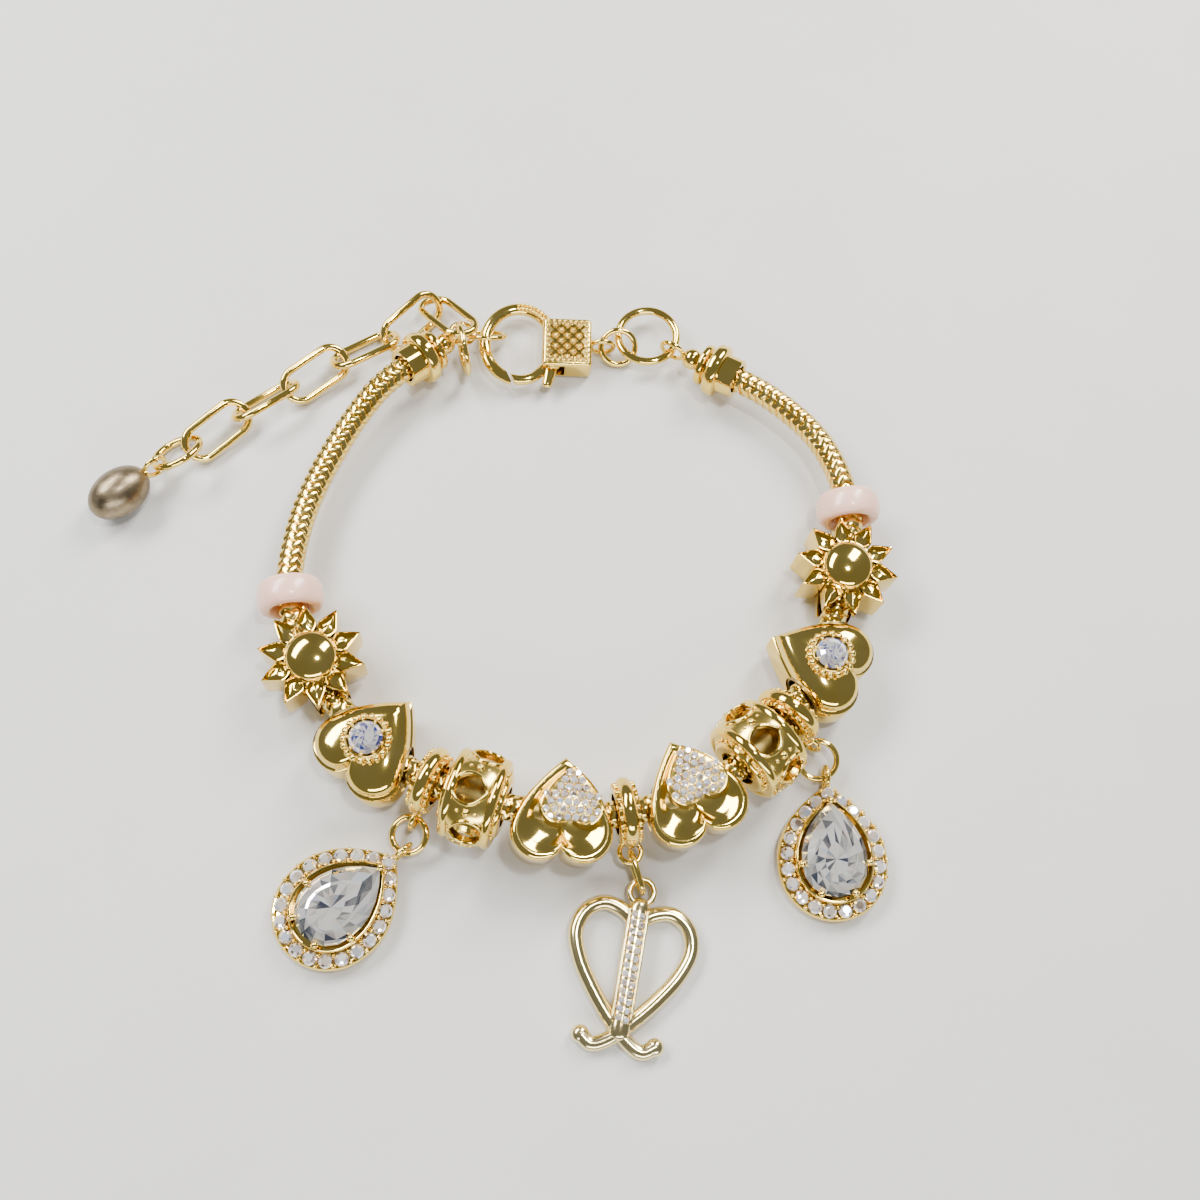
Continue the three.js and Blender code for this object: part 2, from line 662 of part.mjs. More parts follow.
/** Where a bead sits: between the chain's points under its two ends, in line with them. */
function beadPlace(station, half) {
  const [back, ahead] = [pointAt(station - half), pointAt(station + half)];
  const middle = pointAt(station);
  const point = back.clone().add(ahead).add(middle).add(middle).divideScalar(4);
  const along = ahead.sub(back);
  return { point, heading: headingOf(along), slope: slopeOf(along) };
}

const BEAD_MAKERS = {
  paveHeart: (side) => [[`${side}_pave_heart`, paveHeartGeometry(), gold]],
  openwork: (side) => [[`${side}_openwork_bead`, openworkGeometry(), gold]],
  spacer: (side) => [[`${side}_dangle_spacer`, spacerGeometry(side === 'centre'), gold]],
  stoneHeart: (side) => [
    [`${side}_stone_heart`, stoneHeartGeometry(), gold],
    [`${side}_heart_stone`, roundStoneGeometry().translate(0, COLLAR_SHIFT, stoneSeatTop), crystal],
  ],
  sunflower: (side) => [[`${side}_sunflower`, sunflowerGeometry(), gold]],
  stopper: (side) => [[`${side}_stopper`, stopperGeometry(), silicone]],
};

/** Adds one kind of bead at a station and returns the pieces. */
function addBead(kind, side, station) {
  const { point, heading, slope } = beadPlace(station, HALF_LENGTH[kind]);
  return BEAD_MAKERS[kind](side).map(([name, geometry, material]) => (
    addPiece(name, geometry, material, point, heading, slope)
  ));
}

/** Strings the beads outwards from the centre spacer and returns the three spacers. */
function addBeads() {
  const centre = CENTRE_SHARE * routeLength;
  const spacers = { centre: addBead('spacer', 'centre', centre)[0] };
  for (const [side, direction] of [['left', -1], ['right', 1]]) {
    let station = centre;
    let last = 'spacer';
    for (const kind of SIDE_ORDER) {
      const span = HALF_LENGTH[last] + BEAD_GAP + HALF_LENGTH[kind];
      const bend = tangentAt(station).angleTo(tangentAt(station + direction * span));
      station += direction * (span + bend * Math.min(RIM_REACH[last], RIM_REACH[kind]));
      const pieces = addBead(kind, side, station);
      if (kind === 'spacer') [spacers[side]] = pieces;
      last = kind;
    }
  }
  return spacers;
}

function eyeOf(spacer) {
  const drop = SPACER_EYE_DROP * DEGREE;
  const local = new THREE.Vector3(0, -spacerEyeReach * Math.cos(drop), -spacerEyeReach * Math.sin(drop));
  spacer.updateMatrix();
  return local.applyMatrix4(spacer.matrix);
}

// Pendants, which lie flat with their backs at height 0

const teardropEyeReach = TEARDROP_LENGTH - TEARDROP_WIDTH / 2 + PENDANT_EYE.radius - 0.2;
const pendantEyeHeight = PENDANT_EYE.radius + PENDANT_EYE.wire + FLOOR_PLAY;

function teardropSettingGeometry() {
  const inset = HALO_STONE_RADIUS + 0.15;
  const base = stacked(teardropOutline(TEARDROP_WIDTH, TEARDROP_LENGTH), [
    [0, 0.95], [0.5, 1], [TEARDROP_BASE, 0.98],
  ]);
  const wall = 2 * (BEZEL_WALL + FIT_CLEARANCE);
  const bezel = stacked(teardropOutline(PEAR_WIDTH + wall, PEAR_LENGTH + wall, 4, 10), [
    [TEARDROP_BASE - 0.3, 1.02], [TEARDROP_BASE + BEZEL_RISE, 1],
  ]);
  const haloShape = new THREE.Shape(
    teardropOutline(TEARDROP_WIDTH - 2 * inset, TEARDROP_LENGTH - 2 * inset),
  );
  haloShape.closePath();
  const halo = haloShape.getSpacedPoints(HALO_COUNT).slice(0, HALO_COUNT);
  const stones = halo.map((point) => (
    setStone(HALO_STONE_RADIUS, HALO_STONE_RISE, 0.3).translate(point.x, point.y, TEARDROP_BASE)
  ));
  const eye = wireRing(PENDANT_EYE).rotateX(Math.PI / 2).translate(teardropEyeReach, 0, pendantEyeHeight);
  const clear = 2.5 * FIT_CLEARANCE;
  const pocket = stacked(teardropOutline(PEAR_WIDTH + clear, PEAR_LENGTH + clear, 4, 10), [
    [TEARDROP_BASE + BEZEL_RISE - PEAR_DEPTH - 2 * FIT_CLEARANCE, 1],
    [TEARDROP_BASE + BEZEL_RISE + 1, 1],
  ]);
  return geometryOf(cut(join([base, bezel, ...stones, eye]), [pocket]));
}

function pearStoneGeometry() {
  return cutStone(teardropOutline(PEAR_WIDTH, PEAR_LENGTH, 4, 8), PEAR_CROWN, PEAR_DEPTH)
    .translate(0, 0, TEARDROP_BASE + BEZEL_RISE - FIT_CLEARANCE);
}

// The scroll pendant's bars, upright, as shares of its length down from its eye, with X across.
// Two mirrored side bars make an open leaf round the stem, cross at its foot and curl outwards.
const SCROLL_LENGTH = 17.28;
const SCROLL_TILT = -10;
const SCROLL_STEM = [[0, -0.09], [0, -0.34], [0, -0.6], [0, -0.86]];
const SCROLL_SIDE = [[0, -0.2], [0.1, -0.125], [0.22, -0.1], [0.33, -0.17], [0.37, -0.3], [0.32, -0.46],
  [0.2, -0.64], [0.07, -0.79], [-0.06, -0.91], [-0.16, -0.955], [-0.235, -0.91]];

function scrollCurve(shares, height, way = 1) {
  const points = shares.map(([x, y]) => (
    new THREE.Vector3(way * x * SCROLL_LENGTH, y * SCROLL_LENGTH, height / 2)
      .applyAxisAngle(new THREE.Vector3(0, 0, 1), SCROLL_TILT * DEGREE)
  ));
  return new THREE.CatmullRomCurve3(points);
}

function barEnd(curve, share, width, height) {
  const point = curve.getPoint(share);
  return new THREE.SphereGeometry(1, 8, 4)
    .rotateX(Math.PI / 2)
    .scale(width * BAR_END_SHARE, width * BAR_END_SHARE, height / 2)
    .translate(point.x, point.y, point.z);
}

function scrollGeometry() {
  const stem = scrollCurve(SCROLL_STEM, STEM_HEIGHT);
  const sides = [-1, 1].map((way) => scrollCurve(SCROLL_SIDE, BAR_HEIGHT, way));
  const stones = Array.from({ length: STEM_STONE_COUNT }, (_, i) => {
    const point = stem.getPointAt(0.1 + 0.78 * i / (STEM_STONE_COUNT - 1));
    return setStone(STEM_STONE_RADIUS, 0.4).translate(point.x, point.y, STEM_HEIGHT);
  });
  const eye = wireRing(SCROLL_EYE);
  return geometryOf(join([
    sweptBar(stem, 3, STEM_WIDTH, STEM_HEIGHT),
    ...sides.map((side) => sweptBar(side, 15, BAR_WIDTH, BAR_HEIGHT)),
    ...sides.map((side) => barEnd(side, 1, BAR_WIDTH, BAR_HEIGHT)),
    ...stones,
    eye.translate(0, 0, SCROLL_EYE_HEIGHT),
  ]));
}

/** Adds the ring or link that hangs on an eye. Returns where the pendant's own eye goes. */
function addHanger(name, ring, eye, eyeHeight) {
  const geometry = ring.straight ? longLink(ring) : wireRing(ring);
  const [heading, roll] = [ring.heading * DEGREE, ring.roll * DEGREE];
  const half = wireHalf(ring);
  const fall = Math.asin((eye.z - eyeHeight) / (2 * half));
  const along = flatDirection(heading).multiplyScalar(Math.cos(fall)).setZ(-Math.sin(fall));
  const middle = eye.clone().addScaledVector(along, half);
  addPiece(name, geometry, gold, middle, heading, slopeOf(along), roll);
  return eye.clone().addScaledVector(along, 2 * half).setZ(0);
}

function addTeardrop(side, eyePoint, heading) {
  const point = eyePoint.clone().addScaledVector(flatDirection(heading), -teardropEyeReach);
  addPiece(`${side}_teardrop_setting`, teardropSettingGeometry(), gold, point, heading);
  addPiece(`${side}_teardrop_stone`, pearStoneGeometry(), crystal, point, heading);
}

function addPendants(spacers) {
  const [leftEye, centreEye, rightEye] = [spacers.left, spacers.centre, spacers.right].map(eyeOf);
  const left = addHanger('left_pendant_ring', LEFT_RING, leftEye, pendantEyeHeight);
  addTeardrop('left', left, LEFT_TEARDROP_HEADING * DEGREE);
  const right = addHanger('right_pendant_ring', RIGHT_RING, rightEye, pendantEyeHeight);
  addTeardrop('right', right, RIGHT_TEARDROP_HEADING * DEGREE);
  const centre = addHanger('centre_pendant_link', CENTRE_LINK, centreEye, SCROLL_EYE_HEIGHT);
  addPiece('scroll_pendant', scrollGeometry(), gold, centre);
}

// Clasp

const clawCentre = new THREE.Vector2(CLAW_CENTRE_X, 0.2);
const hub = new THREE.Vector2(HUB_INSET - BLOCK_LENGTH / 2, HUB_INSET - BLOCK_WIDTH / 2);

function clawPoint(angle) {
  return new THREE.Vector3(
    clawCentre.x + CLAW_HALF_LENGTH * Math.cos(angle * DEGREE),
    clawCentre.y + CLAW_HALF_WIDTH * Math.sin(angle * DEGREE),
    0,
  );
}

function clawCurve(from, to, count) {
  const points = Array.from({ length: count + 1 }, (_, i) => clawPoint(from + (to - from) * i / count));
  return new THREE.CatmullRomCurve3(points);
}

function blockGeometry() {
  const [x, y, r] = [BLOCK_LENGTH / 2 - BLOCK_BEVEL, BLOCK_WIDTH / 2 - BLOCK_BEVEL, BLOCK_CORNER];
  const shape = new THREE.Shape();
  shape.moveTo(-x + r, -y);
  shape.lineTo(x, -y);
  shape.lineTo(x, y);
  shape.lineTo(-x + r, y);
  shape.absarc(-x + r, y - r, r, Math.PI / 2, Math.PI, false);
  shape.absarc(-x + r, -y + r, r, Math.PI, 1.5 * Math.PI, false);
  return new THREE.ExtrudeGeometry(shape, {
    depth: BLOCK_HEIGHT - 2 * BLOCK_BEVEL,
    curveSegments: 3,
    bevelThickness: BLOCK_BEVEL,
    bevelSize: BLOCK_BEVEL,
    bevelSegments: 1,
  }).translate(0, 0, BLOCK_BEVEL - BLOCK_HEIGHT / 2);
}

const tailEyeX = BLOCK_LENGTH / 2 + TAIL_EYE.radius - 0.05;

/** What a radius about the hinge sweeps on the gate's side. */
function gateSweep(radius) {
  const disc = post(radius, -BLOCK_HEIGHT, BLOCK_HEIGHT, GATE_REACH_SIDES).translate(hub.x, hub.y, 0);
  const side = new THREE.BoxGeometry(2 * radius, 2 * radius, 2 * BLOCK_HEIGHT)
    .translate(hub.x - radius, hub.y - radius, 0);
  return solidOf(disc).intersect(solidOf(side));
}

function claspBodyGeometry() {
  const band = sweptBar(clawCurve(CLAW_START, CLAW_TIP, 12), 18, CLAW_BAND_WIDTH, CLAW_BAND_HEIGHT);
  const hook = solidOf(band).subtract(gateSweep(GATE_REACH + GATE_GAP));
  const slot = HUB_RADIUS + FIT_CLEARANCE;
  const slotHeight = HUB_HEIGHT + 2 * FIT_CLEARANCE;
  const opening = new THREE.BoxGeometry(2 * slot, 2 * slot, slotHeight).translate(
    hub.x - 0.05, hub.y - 0.05, 0,
  );
  const mouth = new THREE.BoxGeometry(4, 4, slotHeight).translate(hub.x - 2, hub.y - 2, 0);
  const eye = wireRing(TAIL_EYE).rotateX(Math.PI / 2).translate(tailEyeX, 0.3, 0);
  const ears = BLOCK_HEIGHT / 2;
  const pin = post(PIN_RADIUS, 0.2 - ears, ears - 0.2).translate(hub.x, hub.y, 0);
  const body = join([blockGeometry(), eye]).add(hook);
  return geometryOf(cut(body, [opening, mouth]).add(solidOf(pin)));
}

function claspLeverGeometry() {
  const gate = new THREE.CatmullRomCurve3([
    clawPoint(GATE_TIP), clawPoint((GATE_TIP + GATE_ROOT) / 2), clawPoint(GATE_ROOT),
    new THREE.Vector3(hub.x - 0.9, hub.y - 0.9, 0),
  ]);
  const disc = post(HUB_RADIUS, -HUB_HEIGHT / 2, HUB_HEIGHT / 2).translate(hub.x, hub.y, 0);
  const bore = post(PIN_RADIUS + FIT_CLEARANCE, -HUB_HEIGHT, HUB_HEIGHT).translate(hub.x, hub.y, 0);
  const thumb = new THREE.CylinderGeometry(THUMB_WIDTH * 0.62, THUMB_WIDTH, THUMB_LENGTH, 8)
    .translate(0, THUMB_LENGTH / 2, 0)
    .rotateZ((THUMB_HEADING - 90) * DEGREE)
    .scale(1, 1, GATE_WIDTH / 2)
    .translate(hub.x, hub.y, 0);
  const arm = solidOf(sweptBar(gate, 7, GATE_WIDTH, GATE_WIDTH)).intersect(gateSweep(GATE_REACH));
  return geometryOf(cut(join([disc, thumb]).add(arm), [bore]));
}

/** Adds the clasp and all that joins it to the two caps' eyes. Returns the connector ring's middle. */
function addClasp(leftEye, rightEye) {
  const armOffset = CAP_EYE.radius + CAP_EYE.wire + FIT_CLEARANCE + CLAW_BAND_WIDTH / 2;
  const claspHeight = BLOCK_HEIGHT / 2 + FLOOR_PLAY;
  const clasp = new THREE.Vector3(
    leftEye.x + armOffset - CLAW_CENTRE_X + CLAW_HALF_LENGTH,
    leftEye.y - CLAW_DROP,
    claspHeight,
  );
  addPiece('clasp_body', claspBodyGeometry(), gold, clasp);
  addPiece('clasp_lever', claspLeverGeometry(), gold, clasp);

  const clawRingX = leftEye.x + CLAW_WIRE_SHIFT + CLAW_RING.radius;
  const clawRingPoint = new THREE.Vector3(clawRingX, leftEye.y - 0.1, leftEye.z);
  addPiece('claw_ring', wireRing(CLAW_RING), gold, clawRingPoint, 0, 0, CLAW_RING_ROLL * DEGREE);

  const connectorHeight = CONNECTOR_RING.radius + CONNECTOR_RING.wire + FLOOR_PLAY;
  const rise = Math.asin((leftEye.z - connectorHeight) / CONNECTOR_RING.radius);
  const connectorAlong = flatDirection(CONNECTOR_HEADING * DEGREE);
  const connectorPoint = leftEye.clone()
    .addScaledVector(connectorAlong, -CONNECTOR_RING.radius * Math.cos(rise))
    .add(new THREE.Vector3(CONNECTOR_SHIFT, 0, 0))
    .setZ(connectorHeight);
  const heading = CONNECTOR_HEADING * DEGREE;
  addPiece('connector_ring', wireRing(CONNECTOR_RING), gold, connectorPoint, heading, 0, Math.PI / 2);

  const tailEye = clasp.clone().add(new THREE.Vector3(tailEyeX, 0.3, 0));
  const tail = tailEye.clone().setX(tailEye.x + wireHalf(TAIL_RING));
  addPiece('clasp_tail_ring', wireRing(TAIL_RING), gold, tail, 0, 0, TAIL_RING.roll * DEGREE);
  addBigRing(tail, rightEye);
  return connectorPoint;
}

/** The large ring bends away from the straight line between its two neighbours to take up slack. */
function addBigRing(tail, rightEye) {
  const first = linkReach(TAIL_RING, BIG_RING, 2.5 * LINK_PLAY);
  const second = linkReach(BIG_RING, CAP_EYE, 1.5 * LINK_PLAY);
  const line = rightEye.clone().sub(tail).setZ(0);
  const span = line.length();
  const bend = Math.acos(Math.min(1, (first ** 2 + span ** 2 - second ** 2) / (2 * first * span)));
  const heading = headingOf(line) + bend;
  const middle = tail.clone().addScaledVector(flatDirection(heading), first);
  middle.z = (tail.z + rightEye.z) / 2;
  const across = rightEye.clone().sub(middle).setZ(0);
  const slope = Math.asin((rightEye.z - tail.z) / (2 * BIG_RING.radius));
  addPiece('right_jump_ring', wireRing(BIG_RING), gold, middle, headingOf(across), slope, 0);
}

// Extender: how each piece heads from the one before it and rolls about its length, in degrees
const EXTENDER_STEPS = [
  { name: 'extender_link_6', heading: 127, roll: 15, lift: 0.8, slack: 0.7, turn: 55 },
  { name: 'extender_link_5', heading: 222, roll: -48, lift: 0, slack: 0.75, turn: 0 },
  { name: 'extender_link_4', heading: 208, roll: 38, lift: 0, slack: 0.2, turn: 0 },
  { name: 'extender_link_3', heading: 215, roll: -25, lift: 0.4, slack: 0.25, turn: 0 },
  { name: 'extender_link_2', heading: 214, roll: 48, lift: 0, slack: 0.2, turn: 0 },
  { name: 'extender_link_1', heading: 219, roll: -25, lift: 0.4, slack: 0.25, turn: 0 },
];
const HOOK_ANGLE = 15;
const END_RING_HEADING = 216;
const END_RING_ROLL = 42;
const END_RING_SLACK = 0.35;
const END_BEAD_HEADING = 222;

function addExtender(connectorPoint) {
  const hook = HOOK_ANGLE * DEGREE;
  const wirePoint = flatDirection(CONNECTOR_HEADING * DEGREE)
    .multiplyScalar(Math.cos(hook))
    .setZ(Math.sin(hook))
    .multiplyScalar(CONNECTOR_RING.radius)
    .add(connectorPoint);
  const half = innerHalf(EXTENDER_LINK) - LINK_PLAY / 2;
  const joint = wirePoint;
  EXTENDER_STEPS.forEach((step, i) => {
    const [heading, roll] = [step.heading * DEGREE, step.roll * DEGREE];
    const height = restHeight(EXTENDER_LINK, roll) + step.lift;
    const reach = i === 0 ? innerHalf(EXTENDER_LINK) - CONNECTOR_RING.wire - LINK_PLAY : half;
    const back = reach - step.slack;
    const fall = i === 0 ? Math.asin((joint.z - height) / (back + half)) : 0;
    const along = flatDirection(heading).multiplyScalar(Math.cos(fall)).setZ(-Math.sin(fall));
    const middle = joint.clone().addScaledVector(along, back);
    if (i > 0) middle.z = height;
    addPiece(step.name, longLink(EXTENDER_LINK), gold, middle, heading, -fall, roll);
    const turn = step.turn * DEGREE;
    const bow = half - EXTENDER_LINK.straight / 2;
    const left = flatDirection(heading + Math.PI / 2).multiplyScalar(Math.cos(roll)).setZ(Math.sin(roll));
    joint.copy(middle)
      .addScaledVector(along, EXTENDER_LINK.straight / 2 + bow * Math.cos(turn))
      .addScaledVector(left, bow * Math.sin(turn));
  });
  addExtenderEnd(joint);
}

function addExtenderEnd(joint) {
  const halfReach = innerHalf(END_RING) - LINK_PLAY / 2 - END_RING_SLACK;
  const [ringHeading, roll] = [END_RING_HEADING * DEGREE, END_RING_ROLL * DEGREE];
  const ringPoint = joint.clone().addScaledVector(flatDirection(ringHeading), halfReach);
  ringPoint.z = restHeight(END_RING, roll);
  addPiece('extender_end_ring', wireRing(END_RING), gold, ringPoint, ringHeading, 0, roll);

  const beadHeading = END_BEAD_HEADING * DEGREE;
  const eyePoint = ringPoint.clone()
    .addScaledVector(flatDirection(beadHeading), linkReach(END_RING, END_BEAD_EYE));
  const half = END_BEAD_LENGTH / 2;
  const rows = [-1, -0.92, -0.7, -0.35, 0, 0.35, 0.7, 0.92, 1];
  const profile = rows.map((share) => [share * half, END_BEAD_RADIUS * Math.sqrt(1 - share * share)]);
  const body = turned(profile, FLOWER_SIDES).translate(half + END_BEAD_EYE.radius - 0.1, 0, 0);
  const eye = wireRing(END_BEAD_EYE).rotateX(100 * DEGREE);
  eyePoint.z = END_BEAD_RADIUS + FLOOR_PLAY;
  addPiece('end_bead', geometryOf(join([body, eye])), bronze, eyePoint, beadHeading);
}

addChain();
const spacers = addBeads();
addPendants(spacers);
const leftEye = addEndCap('left_end_cap', pointAt(0), pointAt(CAP_SOCKET_DEPTH), 0);
const rightEye = addEndCap(
  'right_end_cap', pointAt(routeLength), pointAt(routeLength - CAP_SOCKET_DEPTH), Math.PI / 2,
);
const connectorPoint = addClasp(leftEye, rightEye);
addExtender(connectorPoint);

// The origin is under the middle of the whole, on the surface that it lies on
const box = new THREE.Box3().setFromObject(bracelet, true);
bracelet.position.set(-(box.min.x + box.max.x) / 2, -(box.min.y + box.max.y) / 2, -box.min.z);

export default bracelet;
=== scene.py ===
"""A yellow-gold snake-chain charm bracelet that lies clasped on a pale surface.

Shapes are worked out in millimetres in each piece's own frame and set down in metres.
"""

import json
import logging
import math
from collections.abc import Sequence
from dataclasses import dataclass, field
from enum import Enum

import bmesh
import bpy
import numpy as np
from mathutils import Matrix, Vector


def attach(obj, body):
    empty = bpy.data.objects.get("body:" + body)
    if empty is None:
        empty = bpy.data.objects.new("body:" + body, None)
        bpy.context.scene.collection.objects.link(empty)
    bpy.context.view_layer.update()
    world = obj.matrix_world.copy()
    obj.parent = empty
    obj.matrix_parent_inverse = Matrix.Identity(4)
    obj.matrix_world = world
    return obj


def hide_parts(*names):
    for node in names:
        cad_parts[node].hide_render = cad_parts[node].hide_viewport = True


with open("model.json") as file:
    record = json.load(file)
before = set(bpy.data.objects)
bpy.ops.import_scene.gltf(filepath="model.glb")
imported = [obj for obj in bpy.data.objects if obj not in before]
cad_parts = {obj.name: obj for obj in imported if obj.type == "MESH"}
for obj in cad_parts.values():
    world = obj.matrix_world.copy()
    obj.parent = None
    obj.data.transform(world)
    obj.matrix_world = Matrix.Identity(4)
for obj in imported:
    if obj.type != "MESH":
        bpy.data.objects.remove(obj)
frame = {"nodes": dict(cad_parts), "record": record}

LOG = logging.getLogger("bracelet")
MM = 0.001
FACET = "facet"
BODY = "bracelet"
LEVER_BODY = "clasp_lever"
# The radius of a bead's bore, and of the sleeve's own bore in it
HOLE = 2.27
SLEEVE = 1.92
SLEEVE_LAP = 0.03

Solid = bpy.types.Object
Material = bpy.types.Material
Spot = tuple[float, float]
Outline = list[Spot]
Rows = list[Spot]
Triple = tuple[float, float, float]
Points = list[Triple]


class Slot(str, Enum):
    """The record's finishes."""

    GOLD = "gold"
    BRUSHED = "brushed_gold"
    SILICONE = "silicone"
    CRYSTAL = "crystal"


class Side(str, Enum):
    """The two halves of the bracelet, from its front centre outwards."""

    LEFT = "left"
    RIGHT = "right"

    @property
    def direction(self) -> int:
        """Which way the stations run on this side."""
        return -1 if self is Side.LEFT else 1


# Materials


class Tone:
    """A socket whose arithmetic adds Math nodes."""

    def __init__(self, bench: "Bench", socket: bpy.types.NodeSocket) -> None:
        """Wraps one output socket."""
        self.bench = bench
        self.socket = socket

    def _math(self, operation: str, first: "Tone | float", second: "Tone | float") -> "Tone":
        """Adds one Math node."""
        return self.bench.node("ShaderNodeMath", {"operation": operation}, {0: first, 1: second})

    def __add__(self, other: "Tone | float") -> "Tone":
        """Adds."""
        return self._math("ADD", self, other)

    def __radd__(self, other: float) -> "Tone":
        """Adds from the left."""
        return self._math("ADD", other, self)

    def __mul__(self, other: "Tone | float") -> "Tone":
        """Multiplies."""
        return self._math("MULTIPLY", self, other)

    def __rmul__(self, other: float) -> "Tone":
        """Multiplies from the left."""
        return self._math("MULTIPLY", other, self)


class Bench:
    """The node tree of one material."""

    def __init__(self, name: str) -> None:
        """Starts a material with an empty shader.

        Args:
            name: the material's name.
        """
        self.material = bpy.data.materials.new(name)
        self.material.use_nodes = True
        self.tree = self.material.node_tree
        self.shader = self.tree.nodes["Principled BSDF"]

    def node(self, kind: str, settings: dict, sockets: dict, output: int | str = 0) -> Tone:
        """Adds any node.

        Args:
            kind: the node's type.
            settings: its own settings, or "stops" for a ramp.
            sockets: values or tones for its inputs, by name or number.
            output: which of its outputs is wanted.

        Returns:
            That output.
        """
        node = self.tree.nodes.new(kind)
        for key, value in settings.items():
            if key == "stops":
                self._stops(node.color_ramp, value)
            else:
                setattr(node, key, value)
        for key, value in sockets.items():
            self.feed(node.inputs[key], value)
        return Tone(self, node.outputs[output])

    @staticmethod
    def _stops(ramp: bpy.types.ColorRamp, stops: Sequence[tuple[float, Triple]]) -> None:
        """Sets a ramp's stops.

        Args:
            ramp: the ramp.
            stops: its places and colours.
        """
        while len(ramp.elements) < len(stops):
            ramp.elements.new(1.0)
        for element, (place, colour) in zip(ramp.elements, stops):
            element.position = place
            element.color = (*colour, 1.0)

    def feed(self, socket: bpy.types.NodeSocket, value: object) -> None:
        """Links a tone to a socket, or sets its value.

        Args:
            socket: the input socket.
            value: a tone, a number, a colour or a vector.
        """
        if isinstance(value, Tone):
            self.tree.links.new(value.socket, socket)
        elif socket.type == "RGBA" and isinstance(value, tuple):
            socket.default_value = (*value, 1.0)
        else:
            socket.default_value = value

    def set(self, **values: object) -> None:
        """Feeds the shader's sockets, with _ for a space in their names."""
        for key, value in values.items():
            self.feed(self.shader.inputs[key.replace("_", " ")], value)

    def place(self, stretch: Triple = (1, 1, 1), turn: float = 0.0) -> Tone:
        """Gives the object's own coordinates.

        Args:
            stretch: how much the pattern is squeezed along each axis.
            turn: the pattern's turn about Z, in degrees.

        Returns:
            The coordinates.
        """
        own = self.node("ShaderNodeTexCoord", {}, {}, "Object")
        turned = {"Vector": own, "Rotation": (0.0, 0.0, math.radians(-turn))}
        flat = self.node("ShaderNodeMapping", {}, turned)
        return self.node("ShaderNodeMapping", {}, {"Vector": flat, "Scale": stretch})

    def noise(self, where: Tone, scale: float, detail: float = 3.0) -> Tone:
        """Gives a noise."""
        sockets = {"Vector": where, "Scale": scale, "Detail": detail}
        return self.node("ShaderNodeTexNoise", {}, sockets)

    def mix(self, share: Tone | float, first: object, second: object) -> Tone:
        """Mixes two colours."""
        settings = {"data_type": "RGBA"}
        return self.node("ShaderNodeMix", settings, {0: share, 6: first, 7: second}, 2)

    def bump(self, height: Tone, strength: float, distance: float) -> Tone:
        """Gives a normal from a height."""
        sockets = {"Height": height, "Strength": strength, "Distance": distance}
        return self.node("ShaderNodeBump", {}, sockets)


@dataclass(frozen=True)
class MetalFinish:
    """A plated or polished metal: hue, polish and the marks of its making."""

    name: str
    bright: Triple
    deep: Triple
    roughness: float
    spread: float = 0.08
    grain: float = 700.0
    strength: float = 0.12
    stretch: Triple = (1.0, 1.0, 1.0)
    turn: float = 0.0
    relief: float = 0.00006
    cloud_levels: Spot = (0.35, 0.7)

    def build(self) -> Material:
        """Makes the material."""
        bench = Bench(self.name)
        place = bench.place()
        cloud = bench.noise(place, self.grain * 0.35)
        marks = bench.noise(bench.place(self.stretch, self.turn), self.grain * 3.0, 4.0)
        low, high = self.cloud_levels
        levels = {"Value": cloud, "From Min": low, "From Max": high, "To Min": 0.0, "To Max": 1.0}
        share = bench.node("ShaderNodeMapRange", {}, levels)
        bench.set(
            Base_Color=bench.mix(share, self.deep, self.bright),
            Roughness=self.roughness + (cloud * 0.4 + marks * 0.6) * self.spread,
            Metallic=1.0,
            Normal=bench.bump(cloud * 0.7 + marks * 0.3, self.strength, self.relief),
        )
        return bench.material


@dataclass(frozen=True)
class SiliconeFinish:
    """A soft pale rubber with a faint bloom."""

    name: str = "pale_silicone"
    colour: Triple = (0.86, 0.50, 0.37)
    bloom: Triple = (0.90, 0.60, 0.48)
    bloom_scale: float = 500.0
    fine_scale: float = 5000.0
    relief: float = 0.00004
    depths: Triple = (0.0016, 0.0009, 0.0007)

    def build(self) -> Material:
        """Makes the material."""
        bench = Bench(self.name)
        cloud = bench.noise(bench.place(), self.bloom_scale)
        fine = bench.noise(bench.place(), self.fine_scale)
        bench.set(
            Base_Color=bench.mix(cloud, self.colour, self.bloom),
            Roughness=0.2 + fine * 0.16,
            Normal=bench.bump(fine, 0.08, self.relief),
            Subsurface_Weight=0.25, Subsurface_Radius=self.depths, Subsurface_Scale=1.0,
            Coat_Weight=0.35, Coat_Roughness=0.12,
        )
        return bench.material


